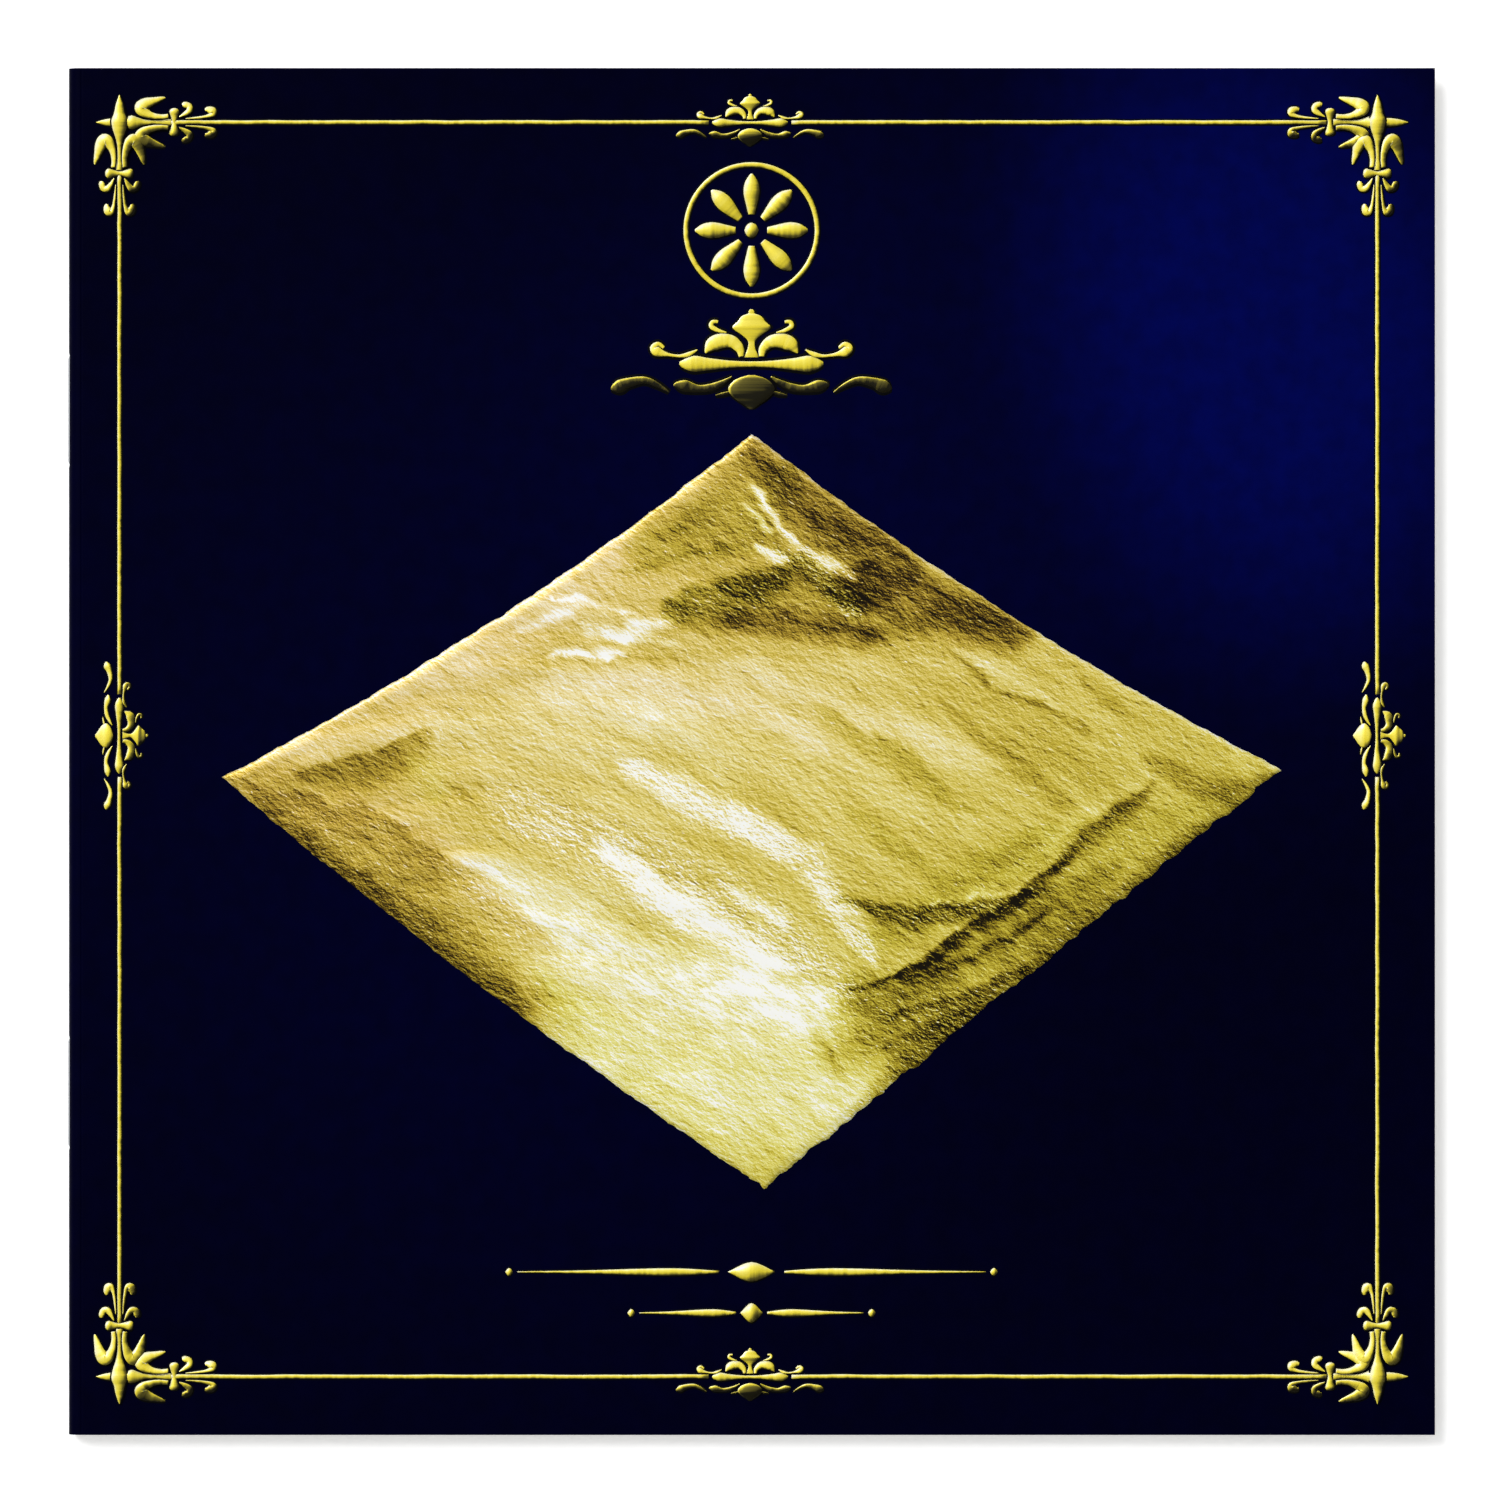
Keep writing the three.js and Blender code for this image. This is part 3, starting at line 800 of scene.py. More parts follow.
def card_inside_finish(look):
    """Uncoated white card with a faint tooth and stray fibres."""
    material, tree, shader = new_finish("card inside", roughness=0.85, specular_ior_level=0.25)
    place = flat_place(tree)
    cloud = remap(tree, grain(tree, place, 0.25, 5.0), 0.35, 0.7, 0.0, 1.0)
    colour = blended(tree, cloud, look.inside_colour, toned_by(look.inside_colour, 0.93))
    fibre = grain(tree, stretched(tree, place, (1.6, 0.3), 23), 1.6, 3.0, distortion=0.8)
    mark = remap(tree, fibre, 0.70, 0.78, 0.0, 0.22)
    set_input(tree, shader, "Base Color", blended(tree, mark, colour, tint(196, 186, 168)))
    set_bump(tree, shader, grain(tree, place, per_millimetre=3.2, detail=4.0), distance=0.012 * MM)
    return material


def card_edge_finish(look):
    """Cut edge of the card, with the layers of its pulp."""
    material, tree, shader = new_finish("card cut edge", roughness=0.9, specular_ior_level=0.2)
    place = flat_place(tree)
    layers = grain(tree, stretched(tree, place, (0.25, 2.0)), 2.0, 4.0)
    colour = blended(tree, layers, look.edge_colour, toned_by(look.edge_colour, 0.72))
    set_input(tree, shader, "Base Color", colour)
    set_bump(tree, shader, layers, distance=0.01 * MM)
    return material


def tissue_finish(look):
    """Thin soft tissue with long fibres and a cloudy sheet."""
    material, tree, shader = new_finish(
        "tissue paper", roughness=0.82, specular_ior_level=0.25, sheen_weight=0.08, sheen_roughness=0.5,
    )
    place = flat_place(tree)
    cloud = remap(tree, grain(tree, place, 0.12, 5.0, 0.6), 0.35, 0.7, 0.0, 1.0)
    shaded = tuple(part * share for part, share in zip(look.colour, (0.90, 0.885, 0.86)))
    colour = blended(tree, cloud, look.colour, shaded)
    fibre = grain(tree, stretched(tree, place, (2.8, 0.33), 78), 1.4, 4.0, distortion=1.2)
    colour = blended(tree, remap(tree, fibre, 0.60, 0.75, 0.0, 0.4), colour, tint(252, 250, 245))
    set_input(tree, shader, "Base Color", colour)
    crease = grain(tree, stretched(tree, place, (2.0, 1.0), -30), 0.22, 4.0, distortion=0.6)
    relief = combine(tree, "MULTIPLY_ADD", fibre, 0.15, crease)
    set_bump(tree, shader, relief, distance=0.10 * MM, strength=0.6)
    return material


def stamped_gold_finish(look):
    """Gold foil with painted light and shade: painted pale where it faces the light, olive where it turns
    away.
    """
    material, tree, shader = new_finish("stamped gold foil", metallic=0.2, specular_ior_level=0.15)
    place = flat_place(tree)
    tone = add(tree, "ShaderNodeAttribute", attribute_name=TONE).outputs["Fac"]
    wear = mottled(tree, place, per_millimetre=1.6, detail=4.0, low=-0.09, high=0.09)
    # Stops from painted shade through gold to painted highlight, picked by the painted tone.
    stops = [
        (0.02, look.dark_colour), (0.25, look.olive_colour), (0.48, look.deep_colour),
        (0.7, look.gold_colour), (1.0, look.pale_colour),
    ]
    set_input(tree, shader, "Base Color", graded(tree, combine(tree, "ADD", tone, wear), stops))
    gloss = mottled(tree, place, per_millimetre=2.0, detail=3.0, low=0.28, high=0.44)
    set_input(tree, shader, "Roughness", gloss)
    set_bump(tree, shader, grain(tree, place, per_millimetre=4.0), distance=0.012 * MM)
    return material


def ink_finish(look):
    """Matt dark line that borders the foil."""
    material, tree, shader = new_finish("dark border ink", roughness=0.6, specular_ior_level=0.05)
    place = flat_place(tree)
    mottle = mottled(tree, place, per_millimetre=1.5, detail=3.0, low=0.0, high=1.0)
    colour = blended(tree, mottle, look.ink_colour, toned_by(look.ink_colour, 1.8))
    set_input(tree, shader, "Base Color", colour)
    return material


def raked(tree, place, stretch, turn, per_millimetre, reach, detail=4.0, roughness=0.7):
    """Painted light and shade of fine creases, as raking light shows it: lit slopes above 0, shaded slopes
    below.
    """
    across = math.radians(turn + 90)
    lamp_side = (reach * math.cos(across), reach * math.sin(across), 0)
    moved = add(tree, "ShaderNodeVectorMath", {0: place, 1: lamp_side}, operation="ADD").outputs[0]
    seats = (stretched(tree, seat, stretch, turn) for seat in (place, moved))
    here, there = (
        grain(tree, seat, per_millimetre, detail, roughness, CRINKLE_DISTORTION) for seat in seats
    )
    return combine(tree, "SUBTRACT", here, there)


def crinkled(tree, place):
    """Painted light and shade on beaten leaf: soft lights, and thin shadows along creases and fine crinkles.
    """
    creases = combine(tree, "MULTIPLY", raked(tree, place, **CREASES), CREASE_GAIN)
    fine = raked(tree, place, **FINE_CRINKLES)
    relief = combine(tree, "MULTIPLY_ADD", fine, FINE_CRINKLE_GAIN, creases)
    lit = combine(tree, "MULTIPLY", combine(tree, "MAXIMUM", relief, 0.0), LIT_GAIN)
    shaded = combine(tree, "MINIMUM", combine(tree, "ADD", relief, SHADED_EDGE), 0.0)
    return combine(tree, "MULTIPLY_ADD", shaded, SHADED_GAIN, lit)


def glints(tree, slopes, amount, steepest, edge):
    """1 where the leaf flashes: on slopes above a level that falls from the steepest as the amount rises."""
    over = combine(tree, "ADD", slopes, amount)
    return remap(tree, over, steepest, steepest + edge, 0.0, 1.0)


def beaten_leaf_finish(look):
    """Beaten brass leaf: bright metal, with painted light and shade of long soft folds, creases and fine
    crinkles.
    """
    material, tree, shader = new_finish("beaten brass leaf", metallic=1.0)
    place = flat_place(tree)
    # Painted light and shade of creases and crinkles, also used as bump height.
    relief = crinkled(tree, place)
    # Painted sheen: broad soft light and dark along long folds, also used as bump height.
    fold_sheen = grain(tree, stretched(tree, place, (5.0, 1.0), -36), 0.15, 5.0, 0.55, distortion=0.5)
    sheen = remap(tree, fold_sheen, GRAIN_LOW, GRAIN_HIGH, 0.28, 0.76)
    tone = combine(tree, "MULTIPLY_ADD", relief, 0.8, sheen)
    # Stops from painted shade through the leaf's colour to painted light.
    stops = [(0.1, look.shade_colour), (0.5, look.colour), (0.9, look.light_colour)]
    set_input(tree, shader, "Base Color", graded(tree, tone, stops))
    gloss = mottled(tree, place, per_millimetre=0.3, detail=4.0, low=0.2, high=0.3)
    set_input(tree, shader, "Roughness", gloss)
    height = combine(tree, "MULTIPLY_ADD", relief, 0.12, fold_sheen)
    set_bump(tree, shader, height, distance=0.3 * MM, strength=0.6)
    return material


def leaf_picture_finish(look):
    """Crinkled leaf seen close: its light and shade, with ripples, and flashes where it has them."""
    material, tree, shader = new_finish("crinkled leaf picture", metallic=0.35, specular_ior_level=0.08)
    place = flat_place(tree)
    shade = add(tree, "ShaderNodeAttribute", attribute_name=SHADE).outputs["Vector"]
    light, sparkle, lemon = add(tree, "ShaderNodeSeparateXYZ", {0: shade}).outputs
    relief = crinkled(tree, place)
    deeper_in_shade = combine(tree, "SUBTRACT", DEEPEST_AT, light)
    easing = combine(tree, "MULTIPLY_ADD", light, EASED_GAIN, EASED_LEVEL)
    eased = combine(tree, "MINIMUM", light, easing)
    toned = combine(tree, "MULTIPLY_ADD", relief, deeper_in_shade, eased)
    crisp_in_shade = combine(tree, "MULTIPLY", deeper_in_shade, CRISP_IN_SHADE)
    crispness = combine(tree, "MULTIPLY_ADD", sparkle, CRISP_IN_SPARKLE, crisp_in_shade)
    toned = combine(tree, "MULTIPLY_ADD", raked(tree, place, **CRISP_CRINKLES), crispness, toned)
    speckle = combine(tree, "MULTIPLY", sparkle, SPECKLE_GAIN)
    speckle = combine(tree, "MINIMUM", speckle, MOST_SPECKLE)
    specks = glints(tree, raked(tree, place, **SPECK_SLOPES), speckle, SPECK_SLOPE, SPECK_EDGE)
    brightness = combine(tree, "MULTIPLY_ADD", light, FLASH_GAIN, FLASH_LEVEL)
    flashes = glints(tree, raked(tree, place, **FLASH_SLOPES), brightness, FLASH_SLOPE, FLASH_EDGE)
    toned = combine(tree, "MULTIPLY_ADD", specks, SPECK_LIGHT, toned)
    toned = combine(tree, "MULTIPLY_ADD", flashes, FLASH_LIGHT, toned)
    stops = [
        (0.04, look.dark_colour), (0.23, look.brown_colour), (0.40, look.ochre_colour),
        (0.57, look.gold_colour), (0.70, look.light_colour), (0.84, look.cream_colour),
        (1.0, look.pale_colour),
    ]
    cast = blended(tree, remap(tree, lemon, -1.0, 1.0, 0.0, 1.0), look.rose_tint, look.lemon_tint)
    cast = blended(tree, remap(tree, toned, *CAST_FADES, 0.0, 1.0), cast, (1, 1, 1))
    colour = graded(tree, toned, stops)
    tinted = add(tree, "ShaderNodeVectorMath", {0: colour, 1: cast}, operation="MULTIPLY")
    set_input(tree, shader, "Base Color", tinted.outputs[0])
    set_input(tree, shader, "Roughness", remap(tree, toned, 0.2, 1.0, 0.46, 0.3))
    set_bump(tree, shader, relief, distance=0.012 * MM)
    return material


def wire_finish(look):
    """Drawn steel wire with fine lengthwise marks."""
    material, tree, shader = new_finish("drawn steel wire", metallic=1.0)
    place = flat_place(tree)
    marks = grain(tree, stretched(tree, place, (1.0, 0.17)), 2.5, 4.0)
    colour = blended(tree, marks, look.colour, toned_by(look.colour, 0.72))
    set_input(tree, shader, "Base Color", colour)
    set_input(tree, shader, "Roughness", remap(tree, marks, GRAIN_LOW, GRAIN_HIGH, 0.24, 0.38))
    return material


def finish_named(name, make, look):
    """The material of that name, made once."""
    return bpy.data.materials.get(name) or make(look)


def card_finishes(look):
    return [
        finish_named("printed card", printed_finish, look),
        finish_named("card inside", card_inside_finish, look),
        finish_named("card cut edge", card_edge_finish, look),
    ]


def gold_and_ink(look):
    return [
        finish_named("stamped gold foil", stamped_gold_finish, look),
        finish_named("dark border ink", ink_finish, look),
    ]


def cover_place(x, y):
    """A point's place on the cover, in millimetres off its middle."""
    return ((x - COVER_MIDDLE) / MM, y / MM)


def fasten_to_cover(piece, reaches_fold):
    """Fastens a piece to the front cover, or, where it reaches the fold, bakes its place into its points
    instead.
    """
    if reaches_fold:
        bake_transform(piece)
    else:
        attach(piece, "front_cover")


def is_closed(run):
    """Whether a run ends where it starts."""
    return (run[0] - run[-1]).length < SAME_POINT


def smooth_run(points, steps):
    """A smooth run through points, with a number of steps for each span between two of them."""
    given = [Vector(point) for point in points]
    before, after = (given[-2], given[1]) if is_closed(given) else (given[0], given[-1])
    padded = [before, *given, after]
    run = []
    for before, start, end, after in zip(padded, padded[1:], padded[2:], padded[3:]):
        for step in range(steps):
            t = step / steps
            bend = 2 * before - 5 * start + 4 * end - after
            twist = 3 * start - before - 3 * end + after
            run.append(start + 0.5 * (t * (end - before) + t * t * bend + t * t * t * twist))
    run.append(given[-1])
    return run


def raise_stroke(skin, run, place, lift, tone, half_extra, swell, sides, finish):
    """A rounded ridge along a run of (x, y, half width) in millimetres, lifted off the cover's print."""
    origin, across_step, along_step = (Vector(place(*at)) for at in ((0, 0), (1, 0), (0, 1)))
    mirror = (across_step - origin).cross(along_step - origin) < 0
    from_side, to_side = (0, sides) if mirror else (sides, 0)
    closed = is_closed(run)
    rings, places = [], []
    for index, point in enumerate(run):
        ahead = run[index + 1] if index + 1 < len(run) else run[1 if closed else -1]
        behind = run[index - 1] if index else run[-2 if closed else 0]
        along = Vector((ahead.x - behind.x, ahead.y - behind.y))
        along = along.normalized() if along.length > SAME_POINT else Vector((1, 0))
        half = max(point.z, THINNEST_STROKE) + half_extra
        ring = []
        for side in spread(from_side, to_side, sides):
            angle = math.pi * side / sides
            reach, rise = half * math.cos(angle), swell * half * math.sin(angle)
            local = (point.x + along.y * reach, point.y - along.x * reach)
            x, y = place(*local)
            ring.append((COVER_MIDDLE + x * MM, y * MM, COVER_TOP + (lift(local) + rise) * MM))
            skin.tones.append(tone(local))
        rings.append(ring)
        places.append(place(point.x, point.y))
    skin.tube(rings, places, finish, capped=not closed)


def raise_foil(skin, run, place, look, tone, swell, lift, slope):
    """A run twice: a low dark ridge a little wider than the foil, and the foil on it."""
    ink_width = look.ink_width / MM

    def foil_lift(local):
        return slope(local) + FOIL_LIFT

    raise_stroke(skin, run, place, lift, tone, ink_width, swell * INK_HEIGHT, INK_SIDES, INK)
    raise_stroke(skin, run, place, foil_lift, tone, 0.0, swell, FOIL_SIDES, GOLD)


def about(middle, scale=1.0):
    """Gives each point of an ornament its place on the cover, off a middle."""
    return lambda x, y: (middle[0] + scale * x, middle[1] + scale * y)


def mirrored(stroke):
    return [(-across, along, half) for across, along, half in stroke]


def raise_ornament(skin, strokes, place, look, lift=0.0, side_axis=None, height=1.0, fade=1.0):
    """Foil along each stroke. A stroke beside the line falls away from it, along the side axis."""
    swell = height * look.swell
    for stroke in strokes:
        beside = side_axis is not None and all(abs(point[side_axis]) >= point[2] for point in stroke)
        outermost = max(abs(point[side_axis]) + point[2] for point in stroke) if beside else 0.0

        def slope(local, outermost=outermost, beside=beside):
            return lift + (look.lean * max(0.0, outermost - abs(local[side_axis])) if beside else 0.0)

        # The foil's painted light level, less the painted shade below and beside the line.
        def tone(local):
            if side_axis is None:
                return look.tone
            return look.tone - fade * side_fade(look, place, local, side_axis)

        run = smooth_run(stroke, STROKE_STEPS)
        raise_foil(skin, run, place, look, tone, swell, lambda local: lift, slope)


def side_fade(look, place, local, side_axis):
    """Painted shade on ornament beside a line: none above and to the left of it, some below and to the
    right.
    """
    on_line = tuple(0.0 if axis == side_axis else value for axis, value in enumerate(local))
    away = Vector(place(*local)) - Vector(place(*on_line))
    below = smooth_step(-away.y, *SIDE_FADE_REACH)
    right = smooth_step(away.x, *SIDE_FADE_REACH)
    lower = smooth_step(place(0, 0)[1] - place(*local)[1], *LOWER_FADE_REACH)
    return look.fade_below * below + look.fade_beside * right * (1 + LOWER_FADE * lower)


def finish_relief(name, skin, look, reaches_fold):
    """One piece of foil relief, with light and shade painted into its colour from the way that it faces."""
    piece = make_piece(name, skin, *gold_and_ink(look))
    normals = np.empty(3 * len(skin.points), dtype=np.float32)
    piece.data.vertex_normals.foreach_get("vector", normals)
    # Painted light and shade: foil that faces the lamp side is painted paler, foil that faces away darker,
    # down to the least facing.
    facing = normals.reshape(-1, 3) @ np.array(LAMP_SIDE, dtype=np.float32)
    facing = np.maximum(facing, LEAST_FACING)
    tones = np.array(skin.tones, dtype=np.float32) + look.painted_slope_shade * facing
    piece.data.attributes.new(TONE, "FLOAT", "POINT").data.foreach_set("value", tones)
    fasten_to_cover(piece, reaches_fold)
    return piece


class BOOKLET_OT_front_cover(bpy.types.Operator):
    """Builds the printed front cover, meshed closely beside the spine where it bends when it opens"""

    bl_idname = "booklet.front_cover"
    bl_label = "Front cover"

    def execute(self, context):
        look = context.scene.card_look
        bend = spread(FOLD_X + SPINE_LAP, COVER_BEND_END, COVER_BEND_STEPS)
        flat = spread(COVER_BEND_END, COVER_HIGH.x, COVER_STEPS)
        columns = hemmed(bend + flat[1:], low=False)
        lines = hemmed(spread(COVER_LOW.y, COVER_HIGH.y, CARD_LINES))
        rows = [[(x, y, COVER_TOP) for y in lines] for x in columns]
        places = [[cover_place(x, y) for y in lines] for x in columns]
        skin = Skin()
        skin.grid(rows, places)
        piece = make_piece("front_cover_card", skin, *card_finishes(look))
        thicken(piece, CARD_THICKNESS, inside=1, rim=2)
        fasten_to_cover(piece, reaches_fold=True)
        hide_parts("front_cover")
        return {"FINISHED"}


def lines_past_staples(low, high, count):
    """Even lines across a fold, with close ones where a staple's bed ends."""
    lines = set(spread(low, high, count))
    for bed_low, bed_high in STAPLE_BOXES:
        for end in (bed_low.y, bed_high.y):
            lines.update(spread(end - BED_END, end + BED_END, BED_END_STEPS))
    return sorted(lines)


def bed_share(y, z):
    """How fully a point of the spine lies in the bed of a staple's crown."""
    across = 1 - smooth_step(abs(z - FOLD_Z), STAPLE_RADIUS, 2 * STAPLE_RADIUS)
    beyond = min(max(low.y - y, y - high.y) for low, high in STAPLE_BOXES)
    return across * (1 - smooth_step(beyond, *BED_END_RISE))


class BOOKLET_OT_back_card(bpy.types.Operator):
    """Builds the back cover and the spine as one folded card, dented under the staples"""

    bl_idname = "booklet.back_card"
    bl_label = "Back cover and spine"

    def execute(self, context):
        look = context.scene.card_look
        outline = [(FOLD_X + SPINE_LAP, FOLD_Z + SPINE_RADIUS, 0.0)]
        for turn in spread(0.0, math.pi, SPINE_STEPS):
            x = FOLD_X - SPINE_RADIUS * math.sin(turn)
            outline.append((x, FOLD_Z + SPINE_RADIUS * math.cos(turn), math.sin(turn)))
        for x in hemmed(spread(FOLD_X, COVER_HIGH.x, BACK_STEPS), low=False)[1:]:
            outline.append((x, FOLD_Z - SPINE_RADIUS, 0.0))
        lines = hemmed(lines_past_staples(COVER_LOW.y, COVER_HIGH.y, CARD_LINES))
        rows, places = [], []
        travelled = FOLD_X + SPINE_LAP
        last = outline[0]
        for x, z, roundness in outline:
            travelled -= math.hypot(x - last[0], z - last[1])
            last = (x, z, roundness)
            rows.append([(x + BED_DEPTH * roundness * bed_share(y, z), y, z) for y in lines])
            places.append([cover_place(travelled, y) for y in lines])
        skin = Skin()
        skin.grid(rows[::-1], places[::-1])
        piece = make_piece("back_cover_and_spine_card", skin, *card_finishes(look))
        thicken(piece, CARD_THICKNESS, inside=1, rim=2)
        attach(piece, "back_and_spine")
        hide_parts("back_cover", "spine")
        return {"FINISHED"}


def page_height(page):
    """Height of a page's middle above the fold line, from the frame."""
    low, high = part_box(page)
    return (low.z + high.z) / 2 - FOLD_Z


def fold_height(height):
    """Height of a page where it enters its fold, which leaves room for the staple tips."""
    outermost = page_height(PAGES[0])
    innermost = outermost / (2 * FOLDED_SHEETS - 1)
    share = (abs(height) - innermost) / (outermost - innermost)
    return math.copysign(INNER_FOLD_RADIUS + share * (outermost - INNER_FOLD_RADIUS), height)


def sheet_trims(look):
    """How far each folded sheet's tail, head and two fore-edges stop short, or stand out."""
    draw = random.Random(TRIM_SEED)
    sheets = range(FOLDED_SHEETS)
    return [[draw.uniform(TRIM_SHORT, TRIM_LONG) * look.trim for edge in range(4)] for sheet in sheets]


class BOOKLET_OT_tissue_folds(bpy.types.Operator):
    """Builds the nested round folds of the tissue sheets inside the spine"""

    bl_idname = "booklet.tissue_folds"
    bl_label = "Tissue folds"

    def execute(self, context):
        look = context.scene.tissue_look
        trims = sheet_trims(look)
        skin = Skin()
        for sheet, page in enumerate(PAGES[:FOLDED_SHEETS]):
            radius = fold_height(page_height(page))
            pressed = BED_DEPTH * (1 - sheet / FOLDED_SHEETS)
            tail, head = trims[sheet][:2]
            lines = lines_past_staples(PAGE_LOW.y - tail, PAGE_HIGH.y + head, TISSUE_LINES)
            rows, places = [], []
            for turn in spread(math.pi, 0.0, TISSUE_FOLD_STEPS):
                x = FOLD_X - radius * math.sin(turn)
                z = FOLD_Z + radius * math.cos(turn)
                dent = pressed * math.sin(turn)
                rows.append([(x + dent * bed_share(y, z), y, z) for y in lines])
                places.append([cover_place(FOLD_X - radius * turn, y) for y in lines])
            skin.grid(rows, places)
        piece = make_piece("tissue_fold_backs", skin, finish_named("tissue paper", tissue_finish, look))
        thicken(piece, look.thickness)
        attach(piece, "back_and_spine")
        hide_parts("tissue_folds")
        return {"FINISHED"}


class BOOKLET_OT_tissue_pages(bpy.types.Operator):
    """Builds the tissue pages, each meshed closely at its gutter, where it bends when it turns"""

    bl_idname = "booklet.tissue_pages"
    bl_label = "Tissue pages"

    def execute(self, context):
        look = context.scene.tissue_look
        finish = finish_named("tissue paper", tissue_finish, look)
        trims = sheet_trims(look)
        for index, page in enumerate(PAGES):
            sheet = min(index, len(PAGES) - 1 - index)
            tail, head, upper, lower = trims[sheet]
            end = PAGE_HIGH.x + (upper if index < FOLDED_SHEETS else lower)
            gutter = spread(FOLD_X, PAGE_BEND_END, PAGE_BEND_STEPS)
            columns = hemmed(gutter + spread(PAGE_BEND_END, end, PAGE_STEPS)[1:], low=False)
            lines = hemmed(spread(PAGE_LOW.y - tail, PAGE_HIGH.y + head, TISSUE_LINES))
            shift_x, shift_y = (index * shift for shift in PAGE_GRAIN_SHIFT)
            height = page_height(page)
            rows, places = [], []
            for x in columns:
                settled = smooth_step(x - FOLD_X, FOLD_EASE_START, FOLD_EASE_START + FOLD_EASE)
                z = FOLD_Z + fold_height(height) + settled * (height - fold_height(height))
                rows.append([(x, y, z + look.thickness / 2) for y in lines])
                places.append([cover_place(x + shift_x, y + shift_y) for y in lines])
            skin = Skin()
            skin.grid(rows, places)
            piece = make_piece(page + "_sheet", skin, finish)
            thicken(piece, look.thickness)
            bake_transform(piece)
            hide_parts(page)
        return {"FINISHED"}


class BOOKLET_OT_gold_leaves(bpy.types.Operator):
    """Builds the loose metal leaves, crinkled and a little ragged at the edge"""

    bl_idname = "booklet.gold_leaves"
    bl_label = "Metal leaves"

    def execute(self, context):
        look = context.scene.leaf_look
        finish = finish_named("beaten brass leaf", beaten_leaf_finish, look)
        for index, leaf in enumerate(LEAVES):
            low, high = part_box(leaf)
            middle = (low + high) / 2
            xs = hemmed(spread(low.x, high.x, look.cells))
            ys = hemmed(spread(low.y, high.y, look.cells))
            shift_x, shift_y = (index * shift for shift in LEAF_GRAIN_SHIFT)
            rows = [[self.leaf_point(look, index, middle, x, y) for y in ys] for x in xs]
            places = [[(x / MM + shift_x, y / MM + shift_y) for y in ys] for x in xs]
            skin = Skin()
            skin.grid(rows, places)
            piece = make_piece(leaf + "_sheet", skin, finish)
            thicken(piece, look.thickness)
            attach(piece, leaf)
            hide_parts(leaf)
        return {"FINISHED"}

    def leaf_point(self, look, index, middle, x, y):
        """A point of a leaf, moved a little by its crinkles and, near the rim, by its ragged cut."""
        half = (LEAF_HIGH.x - LEAF_LOW.x) / 2
        x, y = x - middle.x, y - middle.y

        def pull(out, along, slice_at):
            rim = smooth_step(abs(out), half - LEAF_RAG_RIM, half)
            return LEAF_RAG * rim * abs(noise.noise(Vector((along / LEAF_RAG_RIM, index, slice_at))))

        seat = Vector((x, y, 0)) / LEAF_WAVE + Vector((0, 0, index * LEAF_WAVE_SLICE))
        wave = noise.noise(seat) + FINE_WAVE_SHARE * noise.noise(seat * FINE_WAVES_TO_BROAD)
        pull_x, pull_y = pull(x, y, 1.5), pull(y, x, 4.5)
        moved = Vector((x - math.copysign(pull_x, x), y - math.copysign(pull_y, y), 0))
        return middle + moved + Vector((0, 0, look.crinkle * max(-1.0, min(1.0, wave))))


class BOOKLET_OT_staples(bpy.types.Operator):
    """Builds the two wire staples through the spine"""

    bl_idname = "booklet.staples"
    bl_label = "Staples"

    def execute(self, context):
        look = context.scene.staple_look
        finish = finish_named("drawn steel wire", wire_finish, look)
        for name in STAPLES:
            route = self.wire_route(look, *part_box(name))
            rings, places = [], []
            travelled = 0.0
            for index, (point, out) in enumerate(route):
                travelled += (point - route[max(index - 1, 0)][0]).length
                ring = []
                for side in range(WIRE_SIDES):
                    angle = -2 * math.pi * side / WIRE_SIDES
                    lift = Vector((0, 0, math.sin(angle)))
                    ring.append(point + STAPLE_RADIUS * (math.cos(angle) * out + lift))
                rings.append(ring)
                places.append((travelled / MM, 0.0))
            skin = Skin()
            skin.tube(rings, places)
            piece = make_piece(name + "_wire", skin, finish)
            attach(piece, "back_and_spine")
            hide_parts(name)
        return {"FINISHED"}

    def wire_route(self, look, low, high):
        """Points of the wire's centre line, from tip to tip, each with its direction out of the bend."""
        crown, clinch = low.x + STAPLE_RADIUS + STAPLE_PRESS, high.x - STAPLE_RADIUS
        bottom, top = low.y + STAPLE_RADIUS, high.y - STAPLE_RADIUS
        middle, bend = (low.y + high.y) / 2, look.bend
        bends = [
            (clinch - bend, top - bend, 0.0), (crown + bend, top - bend, math.pi / 2),
            (crown + bend, bottom + bend, math.pi), (clinch - bend, bottom + bend, 1.5 * math.pi),
        ]
        east = Vector((1, 0, 0))
        route = [(Vector((clinch, middle + look.tip_gap / 2, FOLD_Z)), east)]
        for x, y, start in bends:
            for turn in spread(start, start + math.pi / 2, WIRE_BEND_STEPS):
                out = Vector((math.cos(turn), math.sin(turn), 0))
                route.append((Vector((x, y, FOLD_Z)) + bend * out, out))
        route.append((Vector((clinch, middle - look.tip_gap / 2, FOLD_Z)), east))
        return route


def streak(along, across, strength, per_along, per_across, slice_at):
    """Noise that is drawn out one way, of a number of swells along and across."""
    return strength * noise.noise(Vector((along * per_along, across * per_across, slice_at)))


